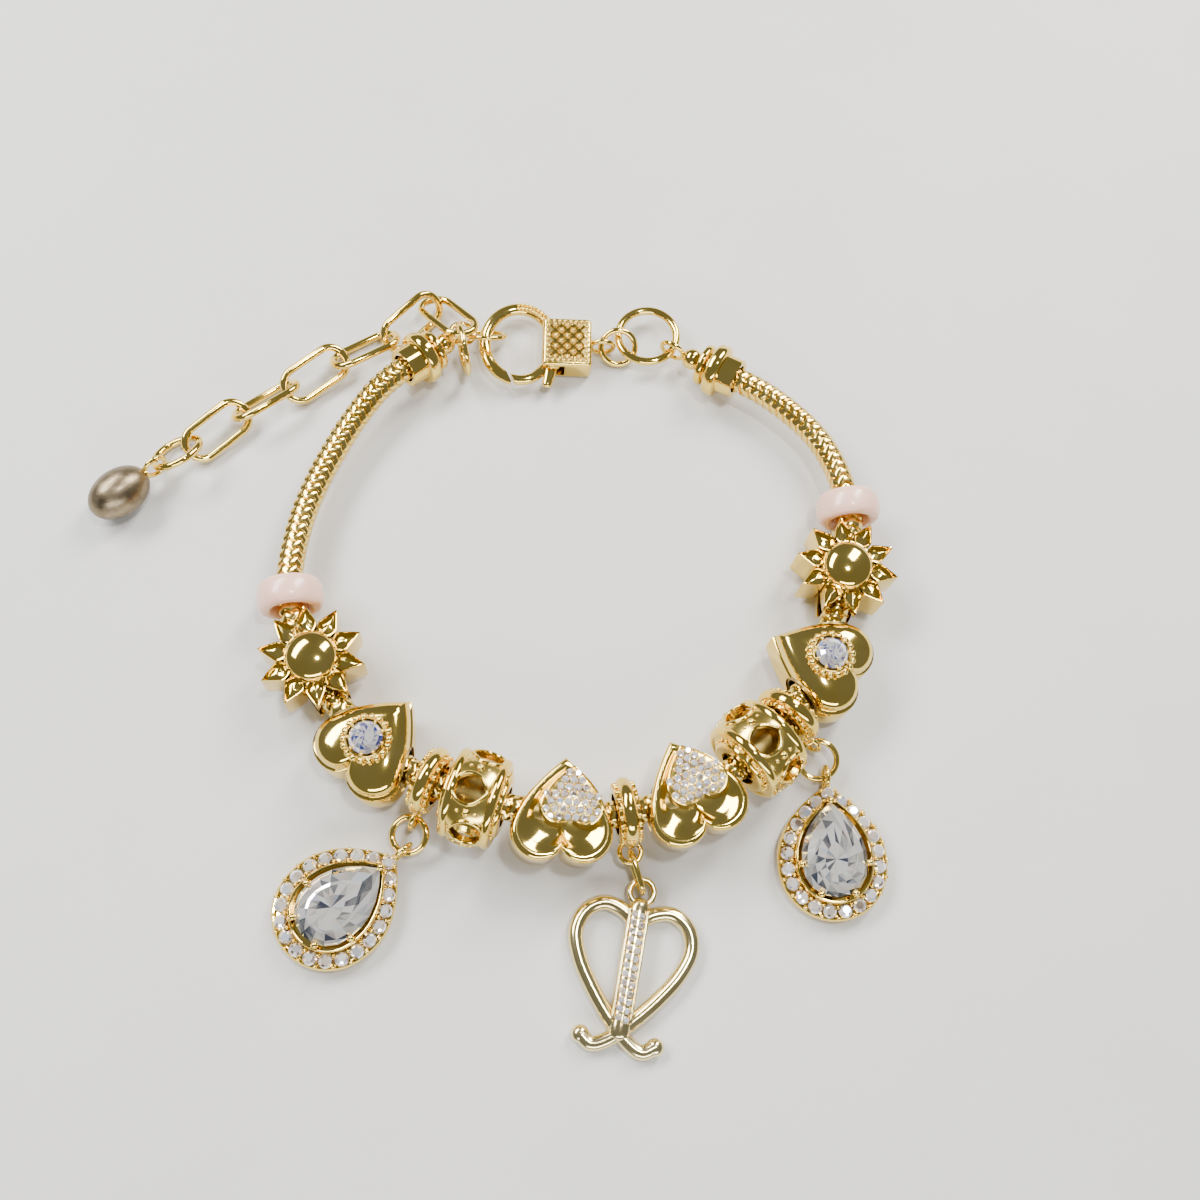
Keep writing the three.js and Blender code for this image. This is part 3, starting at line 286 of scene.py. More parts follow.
@dataclass(frozen=True)
class StoneFinish:
    """A clear cut stone: each facet is a painted reflection, light, grey or dark, with a little
    painted blue and pink fire.
    """

    name: str
    light: Triple
    middle: Triple
    dark: Triple
    dark_share: float
    fire_share: float
    mirror: float
    fire_turns: float = 7.31
    depth_scale: float = 900.0
    fire: tuple[tuple[float, Triple], ...] = (
        (0.0, (0.22, 0.45, 1.0)), (0.12, (0.80, 0.88, 1.0)), (0.3, (1.0, 1.0, 1.0)),
        (0.75, (1.0, 0.97, 0.92)), (0.92, (1.0, 0.66, 0.74)), (1.0, (1.0, 0.78, 0.42)))

    def build(self) -> Material:
        """Makes the material."""
        bench = Bench(self.name)
        # Each facet's random tone picks its painted reflection.
        facet = bench.node("ShaderNodeAttribute", {"attribute_name": FACET}, {}, "Fac")
        second = bench.node("ShaderNodeMath", {"operation": "FRACT"}, {0: facet * self.fire_turns})
        # A fine noise varies the painted reflections across the stone.
        depth = bench.noise(bench.place(), self.depth_scale)
        share = self.dark_share
        stops = [(0.0, self.dark), (share * 0.25, self.dark), (share * 0.6, self.middle),
                 (share, self.light), (1.0, (1.0, 1.0, 1.0))]
        tones = facet * 0.8 + depth * 0.2
        body = bench.node("ShaderNodeValToRGB", {"stops": stops}, {"Fac": tones})
        # The fire is painted: colours of split light that tint the facets.
        fire = bench.node("ShaderNodeValToRGB", {"stops": self.fire}, {"Fac": second})
        tinted = bench.node("ShaderNodeMix", {"data_type": "RGBA", "blend_type": "MULTIPLY"},
                            {0: 1.0, 6: body, 7: fire}, 2)
        bench.set(
            Base_Color=bench.mix(self.fire_share, body, tinted),
            Roughness=0.02 + second * 0.04,
            Metallic=self.mirror, IOR=2.0, Coat_Weight=0.6, Coat_Roughness=0.02,
        )
        return bench.material


@dataclass(frozen=True)
class FloorFinish:
    """A pale, plain, matt tabletop."""

    name: str = "pale_floor"
    deep: Triple = (0.60, 0.59, 0.57)
    bright: Triple = (0.65, 0.64, 0.62)
    scale: float = 60.0

    def build(self) -> Material:
        """Makes the material."""
        bench = Bench(self.name)
        cloud = bench.noise(bench.place(), self.scale)
        bench.set(Base_Color=bench.mix(cloud, self.deep, self.bright), Roughness=0.55)
        return bench.material


class Palette:
    """All the finishes, each made once."""

    def __init__(self) -> None:
        """Makes every material."""
        gold, amber = (0.94, 0.70, 0.19), (0.88, 0.62, 0.12)
        self.mirror = MetalFinish(
            "mirror_gold", gold, amber, 0.05, spread=0.06, strength=0.10).build()
        self.soft = MetalFinish(
            "soft_gold", gold, amber, 0.13, spread=0.10, grain=1200.0, strength=0.2).build()
        # Painted shade: a darker, rougher gold for the bore linings and the clasp's top panel,
        # where shade falls.
        self.painted_shade = MetalFinish(
            "painted_shade_gold", (0.42, 0.31, 0.10), (0.26, 0.18, 0.05), 0.30,
            grain=1500.0, strength=0.3).build()
        self.scale = MetalFinish(
            "scale_gold", (0.92, 0.70, 0.21), (0.80, 0.56, 0.13), 0.10, spread=0.1).build()
        self.pale = MetalFinish(
            "pale_gold", (0.93, 0.79, 0.42), (0.86, 0.70, 0.32), 0.12, strength=0.25).build()
        self.brushed = MetalFinish(
            "brushed_bronze", (0.33, 0.26, 0.16), (0.17, 0.13, 0.08), 0.26, spread=0.2,
            grain=2200.0, strength=0.9, stretch=(0.08, 1.0, 1.0), turn=42.0).build()
        self.silicone = SiliconeFinish().build()
        # The stones' light, grey and dark tones are painted reflections, set facet by facet.
        self.round_stone = StoneFinish(
            "round_stone", light=(0.99, 0.95, 0.90), middle=(0.58, 0.56, 0.66),
            dark=(0.06, 0.08, 0.40), dark_share=0.5, fire_share=0.5, mirror=0.7).build()
        self.pear_stone = StoneFinish(
            "pear_stone", light=(0.99, 0.95, 0.85), middle=(0.64, 0.62, 0.57),
            dark=(0.08, 0.09, 0.12), dark_share=0.56, fire_share=0.3, mirror=0.7).build()
        self.small_stone = StoneFinish(
            "small_stone", light=(1.0, 0.97, 0.93), middle=(0.78, 0.66, 0.56),
            dark=(0.22, 0.15, 0.10), dark_share=0.45, fire_share=0.5, mirror=0.6).build()


# Making shapes


class Work:
    """The operations that shape pieces at the bench."""

    @staticmethod
    def clear() -> None:
        """Leaves edit mode and deselects everything."""
        if bpy.context.object is not None and bpy.context.object.mode != "OBJECT":
            bpy.ops.object.mode_set(mode="OBJECT")
        bpy.ops.object.select_all(action="DESELECT")

    @staticmethod
    def take(obj: Solid) -> Solid:
        """Selects one object alone.

        Args:
            obj: the object.

        Returns:
            The same object.
        """
        Work.clear()
        obj.select_set(True)
        bpy.context.view_layer.objects.active = obj
        return obj

    @staticmethod
    def edit_all(obj: Solid) -> None:
        """Opens an object in edit mode with all of it selected."""
        Work.take(obj)
        bpy.ops.object.mode_set(mode="EDIT")
        bpy.ops.mesh.select_all(action="SELECT")

    @staticmethod
    def outline(points: Outline, filled: bool = True) -> Solid:
        """Lays an outline down flat.

        Args:
            points: its corners.
            filled: whether a face fills it.

        Returns:
            The sheet.
        """
        Work.clear()
        bpy.ops.mesh.primitive_circle_add(vertices=len(points), radius=1.0,
                                          fill_type="NGON" if filled else "NOTHING")
        sheet = bpy.context.object
        for corner, (x, y) in zip(sheet.data.vertices, points):
            corner.co = (x, y, 0.0)
        return sheet

    @staticmethod
    def loft(points: Outline, rows: Rows, pole: bool = False) -> Solid:
        """Raises an outline through rows and closes it.

        Args:
            points: the outline.
            rows: heights, each with its share of the outline's size.
            pole: whether the last row closes to a point.

        Returns:
            The solid.
        """
        solid = Work.outline(points)
        Work.edit_all(solid)
        height, share = rows[0]
        bpy.ops.transform.resize(value=(share, share, 1.0), center_override=(0.0, 0.0, 0.0))
        bpy.ops.transform.translate(value=(0.0, 0.0, height))
        for next_height, next_share in rows[1:]:
            bpy.ops.mesh.extrude_region_move(
                TRANSFORM_OT_translate={"value": (0.0, 0.0, next_height - height)})
            ratio = next_share / share
            bpy.ops.transform.resize(value=(ratio, ratio, 1.0), center_override=(0.0, 0.0, 0.0))
            height, share = next_height, next_share
        if pole:
            bpy.ops.mesh.merge(type="CENTER")
        return Work.closed(solid)

    @staticmethod
    def closed(solid: Solid) -> Solid:
        """Merges doubles and turns all faces outwards.

        Args:
            solid: the piece.

        Returns:
            The same piece.
        """
        Work.edit_all(solid)
        bpy.ops.mesh.remove_doubles(threshold=0.0005)
        bpy.ops.mesh.normals_make_consistent(inside=False)
        bpy.ops.object.mode_set(mode="OBJECT")
        return solid

    @staticmethod
    def spun(profile: Rows, sides: int = 48) -> Solid:
        """Turns a profile round the X axis.

        Args:
            profile: stations along X, each with its radius. It is a loop, unless it starts and
                ends on the axis.
            sides: how many steps it turns in.

        Returns:
            The turned solid.
        """
        blank = Work.outline(profile, filled=False)
        Work.edit_all(blank)
        if profile[0][1] == 0.0 and profile[-1][1] == 0.0:
            sketch = bmesh.from_edit_mesh(blank.data)
            for edge in sketch.edges:
                edge.select = all(corner.co.y == 0.0 for corner in edge.verts)
            bpy.ops.mesh.delete(type="EDGE")
            bpy.ops.mesh.select_all(action="SELECT")
        bpy.ops.mesh.spin(steps=sides, angle=2 * math.pi, center=(0, 0, 0), axis=(1, 0, 0))
        return Work.closed(blank)

    @staticmethod
    def ring(radius: float, wire: float, straight: float = 0.0, around: int = 48) -> Solid:
        """Bends a wire into a ring or a long link.

        Args:
            radius: the wire's centre line.
            wire: the wire's radius.
            straight: how far apart its two halves are drawn along X.
            around: how many steps it has.

        Returns:
            The ring, flat about the origin.
        """
        Work.clear()
        bpy.ops.mesh.primitive_torus_add(major_segments=around, minor_segments=14,
                                         major_radius=radius, minor_radius=wire)
        band = bpy.context.object
        for way in (-1, 1) if straight else ():
            Work.edit_all(band)
            bpy.ops.mesh.select_all(action="DESELECT")
            sketch = bmesh.from_edit_mesh(band.data)
            for corner in sketch.verts:
                corner.select = way * corner.co.x > 1e-4
            sketch.select_flush(True)
            bpy.ops.transform.translate(value=(way * straight / 2, 0.0, 0.0))
        Work.clear()
        return band

    @staticmethod
    def tube(path: Points, radius: float, closed: bool = False, flat: float = 1.0,
             rounded: bool = True, sides: int = 4, ends: Spot = (1.0, 1.0)) -> Solid:
        """Draws a round or flattened bar along a path.

        Args:
            path: the points of its centre line.
            radius: half of its width.
            closed: whether its ends meet.
            flat: its height as a share of its width.
            rounded: whether its ends are domed.
            sides: the bar's roundness.
            ends: its width at its two ends, as shares.

        Returns:
            The bar.
        """
        line = bpy.data.curves.new("bar", "CURVE")
        line.dimensions = "3D"
        line.bevel_depth = radius
        line.bevel_resolution = sides
        line.use_fill_caps = True
        line.twist_mode = "Z_UP" if not closed else "MINIMUM"
        first, last = ends
        count = len(path) - 1
        spots = [(Vector(point), first + (last - first) * i / count)
                 for i, point in enumerate(path)]
        if rounded and not closed:
            spots = Work._domed(spots, radius)
        spline = line.splines.new("POLY")
        spline.points.add(len(spots) - 1)
        for slot, (spot, share) in zip(spline.points, spots):
            slot.co = (*spot, 1.0)
            slot.radius = share
        spline.use_cyclic_u = closed
        bar = bpy.data.objects.new("bar", line)
        bpy.context.collection.objects.link(bar)
        Work.take(bar)
        bpy.ops.object.convert(target="MESH")
        bar = bpy.context.object
        if flat != 1.0:
            middle = sum(point[2] for point in path) / len(path)
            Work.edit_all(bar)
            bpy.ops.transform.resize(value=(1.0, 1.0, flat), center_override=(0.0, 0.0, middle))
        return Work.closed(bar)

    @staticmethod
    def _domed(spots: list[tuple[Vector, float]], radius: float) -> list[tuple[Vector, float]]:
        """Adds the narrowing rows of domed ends.

        Args:
            spots: the path with its shares of the width.
            radius: half of the bar's width.

        Returns:
            The longer path.
        """
        made = list(spots)
        for end, inner, at_start in ((0, 1, True), (-1, -2, False)):
            spot, share = spots[end]
            outwards = (spot - spots[inner][0]).normalized()
            for angle in (25, 45, 62, 75, 84):
                lean = math.radians(angle)
                place = spot + outwards * radius * share * math.sin(lean) * 0.8
                made.insert(0 if at_start else len(made), (place, share * math.cos(lean)))
        return made

    @staticmethod
    def joined(pieces: list[Solid]) -> Solid:
        """Joins objects into one.

        Args:
            pieces: the objects.

        Returns:
            The one that they become.
        """
        Work.clear()
        for piece in pieces:
            piece.select_set(True)
        bpy.context.view_layer.objects.active = pieces[0]
        bpy.ops.object.join()
        return pieces[0]

    @staticmethod
    def moved(obj: Solid, place: Matrix) -> Solid:
        """Moves a piece in its mesh."""
        obj.data.transform(place)
        return obj

    @staticmethod
    def copies(pattern: Solid, places: list[Matrix]) -> Solid:
        """Repeats a shape at many places and takes the first one away.

        Args:
            pattern: the shape.
            places: where it goes.

        Returns:
            One object with all of them.
        """
        merged = bmesh.new()
        for place in places:
            mesh = pattern.data.copy()
            mesh.transform(place)
            merged.from_mesh(mesh)
            bpy.data.meshes.remove(mesh)
        mesh = bpy.data.meshes.new("row")
        merged.to_mesh(mesh)
        merged.free()
        bpy.data.objects.remove(pattern)
        row = bpy.data.objects.new("row", mesh)
        bpy.context.collection.objects.link(row)
        return row

    @staticmethod
    def cut(solid: Solid, tool: Solid, keep_inside: bool = False) -> Solid:
        """Cuts one shape with another.

        Args:
            solid: what is cut.
            tool: what it is cut with, used up.
            keep_inside: whether the inside of the tool is kept and not the outside.

        Returns:
            What is left.
        """
        Work.take(solid)
        blade = solid.modifiers.new("cut", "BOOLEAN")
        blade.operation = "INTERSECT" if keep_inside else "DIFFERENCE"
        blade.solver = "EXACT"
        blade.object = tool
        bpy.ops.object.modifier_apply(modifier=blade.name)
        bpy.data.objects.remove(tool)
        return solid

    @staticmethod
    def bored(solid: Solid, length: float) -> Solid:
        """Bores a bead along X for the chain.

        Args:
            solid: the bead.
            length: how far the bore reaches.

        Returns:
            The bored bead.
        """
        half = length / 2
        bar = Work.spun([(-half, 0.0), (-half, HOLE), (half, HOLE), (half, 0.0)], 32)
        return Work.cut(solid, bar)

    @staticmethod
    def sleeve(hull: Solid) -> Solid:
        """Lines a bead's bore along X, flush with the bead's sides, as a dark lining that carries
        the painted shade inside the bore.

        Args:
            hull: a solid as wide as the bead. It is used up.

        Returns:
            The sleeve.
        """
        reach, outer = 9.0, HOLE + SLEEVE_LAP
        tube = Work.spun([(-reach, outer), (reach, outer), (reach, SLEEVE), (-reach, SLEEVE)], 40)
        return Work.cut(tube, hull, keep_inside=True)

    @staticmethod
    def granule(radius: float) -> Solid:
        """Adds one small ball of metal.

        Args:
            radius: its radius.

        Returns:
            The ball.
        """
        Work.clear()
        bpy.ops.mesh.primitive_uv_sphere_add(segments=8, ring_count=5, radius=radius)
        return bpy.context.object

    @staticmethod
    def granules(radius: float, places: list[Matrix]) -> Solid:
        """Sets equal balls of metal at many places."""
        return Work.copies(Work.granule(radius), places)

    @staticmethod
    def cut_stone(outline: Outline, rows: Rows) -> Solid:
        """Cuts a stone whose crown and table are split into triangular facets.

        Args:
            outline: its girdle.
            rows: heights, each with its share of the girdle's size.

        Returns:
            The stone.
        """
        stone = Work.loft(outline, rows)
        top = rows[-1][0]
        Work.edit_all(stone)
        bpy.ops.mesh.select_all(action="DESELECT")
        bpy.ops.mesh.select_mode(type="FACE")
        sketch = bmesh.from_edit_mesh(stone.data)
        for face in sketch.faces:
            face.select = len(face.verts) > 4 and face.calc_center_median().z > top - 1e-3
        bpy.ops.mesh.poke()
        bpy.ops.mesh.select_all(action="SELECT")
        bpy.ops.mesh.quads_convert_to_tris(quad_method="FIXED_ALTERNATE")
        bpy.ops.mesh.select_mode(type="VERT")
        Work.clear()
        return stone

    @staticmethod
    def small_stone(radius: float, rise: float, sides: int = 8) -> Solid:
        """Adds one small set stone: girdle, crown facets and table."""
        rows = [(-rise, 0.55), (0.0, 1.0), (rise * 0.62, 0.80), (rise, 0.52)]
        return Work.loft(ring_points(radius, sides), rows)

    @staticmethod
    def block(size: Triple, middle: Triple, bevel: float = 0.0) -> Solid:
        """Adds a bevelled block.

        Args:
            size: its three sizes.
            middle: its middle.
            bevel: its edges' rounding.

        Returns:
            The block.
        """
        Work.clear()
        bpy.ops.mesh.primitive_cube_add(size=1.0, location=(0.0, 0.0, 0.0))
        body = bpy.context.object
        Work.edit_all(body)
        bpy.ops.transform.resize(value=size, center_override=(0.0, 0.0, 0.0))
        if bevel:
            bpy.ops.mesh.bevel(offset=bevel, segments=4, profile=0.5)
        bpy.ops.object.mode_set(mode="OBJECT")
        return Work.moved(body, Matrix.Translation(middle))

    @staticmethod
    def number_facets(stone: Solid) -> None:
        """Gives each facet of a stone its own random tone, which picks its painted reflection, the
        same on every run.

        Args:
            stone: the stone, in its place.
        """
        tones = stone.data.attributes.new(FACET, "FLOAT", "FACE")
        for facet, tone in zip(stone.data.polygons, tones.data):
            x, y, z = facet.center / MM
            tone.value = (math.sin(x * 12.9898 + y * 78.233 + z * 37.719) * 43758.5453) % 1.0

    @staticmethod
    def ship(obj: Solid, name: str, place: Matrix, material: Material,
             slot: Slot = Slot.GOLD, body: str = BODY, stands_for: tuple[str, ...] = (),
             smooth: float = 40.0) -> None:
        """Sets a finished piece down in the frame.

        Args:
            obj: the piece, in millimetres in its own frame.
            name: its name.
            place: where its frame is, in millimetres.
            material: its finish.
            slot: the record's finish that it matches; a crystal piece gets its facets numbered.
            body: what it moves with.
            stands_for: the solids that it replaces.
            smooth: below this angle edges are smooth, or 0 for flat facets.
        """
        obj.data.transform(Matrix.Scale(MM, 4) @ place)
        obj.name = obj.data.name = name
        Work.take(obj)
        if smooth:
            bpy.ops.object.shade_smooth_by_angle(angle=math.radians(smooth))
        else:
            bpy.ops.object.shade_flat()
        obj.data.materials.clear()
        obj.data.materials.append(material)
        if slot is Slot.CRYSTAL:
            Work.number_facets(obj)
        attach(obj, body)
        if stands_for:
            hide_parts(*stands_for)
        LOG.info("%s: %d faces", name, len(obj.data.polygons))


def ring_points(radius: float, count: int, start: float = 0.5) -> Outline:
    """Points on a circle."""
    angles = [(i + start) * 2 * math.pi / count for i in range(count)]
    return [(radius * math.cos(angle), radius * math.sin(angle)) for angle in angles]


def bow(start: Spot, pull: Spot, end: Spot, steps: int) -> Outline:
    """Points of a quadratic curve, without its last one.

    Args:
        start: its start.
        pull: what it bends towards.
        end: its end.
        steps: how many steps it has.

    Returns:
        The points.
    """
    return [tuple((1 - t) ** 2 * a + 2 * t * (1 - t) * b + t * t * c
                  for a, b, c in zip(start, pull, end))
            for t in (i / steps for i in range(steps))]


def heart_points(width: float, length: float, steps: int = 13) -> Outline:
    """A heart about its middle: tip at +Y, cleft at -Y.

    Args:
        width: its width.
        length: its length.
        steps: how many steps each arc has.

    Returns:
        Its outline.
    """
    lobe = width * 0.285
    middle = width / 2 - lobe
    lobe_y = lobe - length / 2
    cleft = math.acos(min(1.0, middle / lobe))
    lean = math.radians(20)
    side = (middle + lobe * math.cos(lean), lobe_y + lobe * math.sin(lean))
    pull = (side[0] * 0.78, side[1] + (length / 2 - side[1]) * 0.5)
    tip = (0.0, length / 2)
    first, last = math.pi - lean, 2 * math.pi - cleft
    left = [(lobe * math.cos(a) - middle, lobe_y + lobe * math.sin(a))
            for a in (first + (last - first) * i / steps for i in range(steps))]
    right = [(-x, y) for x, y in reversed(left)]
    return [*bow(tip, (-pull[0], pull[1]), (-side[0], side[1]), steps), *left,
            (0.0, length * 0.13 - length / 2), *right,
            *bow(side, pull, tip, steps)[1:]]


def heart_hull(width: float, length: float, half: float) -> Solid:
    """A plain heart a little inside a bead's side wall."""
    inset = 0.96
    return Work.loft(heart_points(width * inset, length * inset), [(-half, 1.0), (half, 1.0)])


def teardrop_points(width: float, length: float, steps: int = 14, arc: int = 22) -> Outline:
    """A teardrop about the middle of its round end: tip at +X.

    Args:
        width: its width.
        length: its length.
        steps: how many steps each flank has.
        arc: how many steps the round end has.

    Returns:
        Its outline.
    """
    radius = width / 2
    tip = length - radius
    flank = bow((tip, 0.0), (tip * 0.55, radius * 1.06), (0.0, radius), steps)
    turns = [math.pi / 2 + math.pi * i / arc for i in range(arc + 1)]
    round_end = [(radius * math.cos(a), radius * math.sin(a)) for a in turns]
    return [*flank, *round_end, *[(x, -y) for x, y in reversed(flank[1:])]]


def spaced(points: Outline, count: int, start: float = 0.0) -> Outline:
    """Points at even distances along an outline.

    Args:
        points: the outline.
        count: how many.
        start: where the first is, in steps.

    Returns:
        The points.
    """
    loop = np.array([*points, points[0]])
    steps = np.hypot(*np.diff(loop, axis=0).T)
    run = np.concatenate(([0.0], np.cumsum(steps)))
    wanted = (np.arange(count) + start) % count * run[-1] / count
    return list(zip(*(np.interp(wanted, run, loop[:, axis]) for axis in (0, 1))))


def spread(first: float, last: float, count: int) -> list[float]:
    """Numbers spread evenly from the first to the last."""
    return [first + (last - first) * i / (count - 1) for i in range(count)]


def inside(points: Outline, x: float, y: float) -> bool:
    """Whether a point is inside an outline.

    Args:
        points: the outline.
        x: the point's X.
        y: the point's Y.

    Returns:
        True if it is.
    """
    hit = False
    for (ax, ay), (bx, by) in zip(points, [*points[1:], points[0]]):
        if (ay > y) != (by > y) and x < (bx - ax) * (y - ay) / (by - ay) + ax:
            hit = not hit
    return hit


def smooth_path(points: Points, steps: int = 6) -> Points:
    """A smooth path through points.

    Args:
        points: the points.
        steps: how many steps each stretch has.

    Returns:
        The path.
    """
    route = Route([Vector(point) for point in points])
    count = steps * (len(points) - 1)
    return [tuple(route.at_share(i / count)) for i in range(count + 1)]


def shift(x: float = 0.0, y: float = 0.0, z: float = 0.0) -> Matrix:
    """A move."""
    return Matrix.Translation((x, y, z))


def turn(angle: float, axis: str) -> Matrix:
    """A turn in degrees about an axis."""
    return Matrix.Rotation(math.radians(angle), 4, axis)


def flat_way(heading: float) -> Vector:
    """The level direction of a heading in degrees."""
    return Vector((math.cos(math.radians(heading)), math.sin(math.radians(heading)), 0.0))


def set_at(point: Vector, heading: float = 0.0, slope: float = 0.0, roll: float = 0.0) -> Matrix:
    """The frame of a piece."""
    return Matrix.Translation(point) @ turn(heading, "Z") @ turn(-slope, "Y") @ turn(roll, "X")


def tipped(places: list[Matrix], most: float = 13.0) -> list[Matrix]:
    """Tips each place its own way, so that set stones catch the light apart.

    Args:
        places: the stones' places.
        most: the largest tip in degrees.

    Returns:
        The tipped places.
    """
    golden_turn, golden_share = 137.5, 0.618
    return [place @ turn(golden_turn * i, "Z")
            @ turn(most * (0.3 + 0.7 * (i * golden_share % 1)), "X")
            for i, place in enumerate(places)]


def ring_frame(node: str) -> Matrix:
    """The frame of a ring's or link's solid, with X along it and Z through it.

    Args:
        node: the solid's name.

    Returns:
        Its frame, in millimetres.
    """
    mesh = frame["nodes"][node].data
    corners = np.zeros(len(mesh.vertices) * 3)
    mesh.vertices.foreach_get("co", corners)
    corners = np.unique(np.round(corners.reshape(-1, 3) / MM, 4), axis=0)
    middle = corners.mean(axis=0)
    along, _, through = np.linalg.svd(corners - middle, full_matrices=False)[2]
    across = np.cross(through, along)
    placed = Matrix.Identity(4)
    for column, axis in enumerate((along, across, through, middle)):
        for row in range(3):
            placed[row][column] = float(axis[row])
    return placed


# The chain's route


class Route:
    """A smooth line through points, with places by distance along it."""

    DIVISIONS = 200

    def __init__(self, points: list[Vector]) -> None:
        """Measures the line.

        Args:
            points: the points that it goes through.
        """
        self.points = points
        marks = [self.at_share(i / self.DIVISIONS) for i in range(self.DIVISIONS + 1)]
        steps = [0.0] + [(b - a).length for a, b in zip(marks, marks[1:])]
        self.run = np.cumsum(steps)
        self.length = float(self.run[-1])

    def at_share(self, share: float) -> Vector:
        """The point at a share of the line's parameter.

        Args:
            share: from 0 to 1.

        Returns:
            The point.
        """
        last = len(self.points) - 1
        spot = min(max(share, 0.0), 1.0) * last
        index = min(int(spot), last - 1)
        part = spot - index
        b, c = self.points[index], self.points[index + 1]
        a = self.points[index - 1] if index > 0 else b * 2 - c
        d = self.points[index + 2] if index + 2 <= last else c * 2 - b
        gaps = [max((q - p).length, 1e-8) ** 0.5 for p, q in ((a, b), (b, c), (c, d))]
        start = ((b - a) / gaps[0] - (c - a) / (gaps[0] + gaps[1]) + (c - b) / gaps[1]) * gaps[1]
        end = ((c - b) / gaps[1] - (d - b) / (gaps[1] + gaps[2]) + (d - c) / gaps[2]) * gaps[1]
        square, cube = part * part, part ** 3
        return (b + start * part + (b * -3 + c * 3 - start * 2 - end) * square
                + (b * 2 - c * 2 + start + end) * cube)

    def _share(self, station: float) -> float:
        """Turns a distance along the line into its parameter."""
        marks = np.arange(self.DIVISIONS + 1) / self.DIVISIONS
        return float(np.interp(station, self.run, marks))

    def at(self, station: float) -> Vector:
        """The point at a distance along the line."""
        return self.at_share(self._share(station))

    def tangent(self, station: float) -> Vector:
        """The line's direction at a distance along it."""
        share = self._share(station)
        return (self.at_share(share + 1e-4) - self.at_share(share - 1e-4)).normalized()


@dataclass
class Stringing:
    """The chain's route and where each bead sits on it."""

    centre_share: float = 0.533
    bead_gap: float = 0.34
    shift: Triple = (12.552, 6.426, 0.0)
    halves: dict[str, float] = field(default_factory=lambda: {
        "spacer": 1.25, "pave_heart": 5.5, "openwork": 3.4, "stone_heart": 5.7,
        "sunflower": 5.95 * math.cos(math.pi / 10), "stopper": 1.7})
    reaches: dict[str, float] = field(default_factory=lambda: {
        "spacer": 3.05, "pave_heart": 0.5, "openwork": 3.5, "stone_heart": 0.5,
        "sunflower": 0.9 * 5.95 * math.sin(math.pi / 10), "stopper": 3.75 * 0.7})
    points: tuple[Triple, ...] = (
        (-22.2, 28.8, 3.35), (-24.2, 27.1, 3.7), (-27.0, 24.2, 3.7), (-31.4, 17.0, 3.1),
        (-34.8, 7.6, 3.3), (-35.3, -2.2, 4.0), (-30.9, -12.0, 3.7), (-22.2, -20.8, 4.6),
        (-10.8, -25.4, 5.55), (2.8, -25.8, 5.0), (14.2, -21.2, 5.55), (22.9, -11.5, 4.5),
        (27.9, 1.0, 3.7), (29.3, 11.0, 3.85), (26.6, 19.4, 3.4), (21.0, 24.9, 3.6),
        (16.9, 27.3, 3.7), (14.6, 28.6, 3.35))

    def __post_init__(self) -> None:
        """Draws the route through the chain's points and strings the beads."""
        start = Vector(self.shift)
        self.route = Route([Vector(point) + start for point in self.points])
        self.places: dict[tuple[str, str], Matrix] = {}
        centre = self.centre_share * self.route.length
        self.places["centre", "spacer"] = self._place(centre, self.halves["spacer"])
        for side in Side:
            station, last = centre, "spacer"
            for kind in ("pave_heart", "openwork", "spacer", "stone_heart", "sunflower",
                         "stopper"):
                span = self.halves[last] + self.bead_gap + self.halves[kind]
                ahead = station + side.direction * span
                bend = self.route.tangent(station).angle(self.route.tangent(ahead))
                reach = min(self.reaches[last], self.reaches[kind])
                station = ahead + side.direction * bend * reach
                self.places[side.value, kind] = self._place(station, self.halves[kind])
                last = kind

    def _place(self, station: float, half: float) -> Matrix:
        """The frame of a bead on the chain."""
        back, ahead, middle = (self.route.at(station + step) for step in (-half, half, 0.0))
        return self.frame_on((back + ahead + middle * 2) / 4, ahead - back)

    @staticmethod
    def frame_on(point: Vector, along: Vector) -> Matrix:
        """The frame at a point with X along a direction.

        Args:
            point: its origin.
            along: its X.

        Returns:
            The frame.
        """
        heading = math.degrees(math.atan2(along.y, along.x))
        slope = math.degrees(math.atan2(along.z, math.hypot(along.x, along.y)))
        return set_at(point, heading, slope)


# Sub-assemblies


@dataclass
class SnakeChain:
    """The round chain of interlocked scales."""

    radius: float = 1.55
    pitch: float = 1.08
    sides: int = 32
    lobes: int = 6
    sway: float = 0.2
    waist: float = 0.05

    def rib(self) -> Solid:
        """Shapes one rib of scales."""
        rows = [(h * self.pitch, share) for h, share in (
            (-0.6, 0.72), (-0.46, 0.84), (-0.34, 0.95), (0.0, 1.0), (0.34, 0.95), (0.46, 0.84),
            (0.6, 0.72))]
        rib = Work.loft(ring_points(self.radius, self.sides, 0.0), rows)
        for corner in rib.data.vertices:
            angle = math.atan2(corner.co.y, corner.co.x)
            wave = math.cos(self.lobes * angle)
            corner.co.z += self.sway * wave
            tight = 1.0 - self.waist * (1.0 - abs(wave))
            corner.co.x *= tight
            corner.co.y *= tight
        return Work.moved(rib, turn(90, "Y"))

    def build(self, strung: Stringing, palette: Palette) -> None:
        """Lays the ribs along the route.

        Args:
            strung: the route.
            palette: the finishes.
        """
        count = round(strung.route.length / self.pitch)
        stations = [(i + 0.5) * strung.route.length / count for i in range(count)]
        places = [strung.frame_on(strung.route.at(station), strung.route.tangent(station))
                  for station in stations]
        chain = Work.copies(self.rib(), places)
        Work.ship(chain, "snake_chain_scales", Matrix(), palette.scale,
                  stands_for=("snake_chain",), smooth=28)


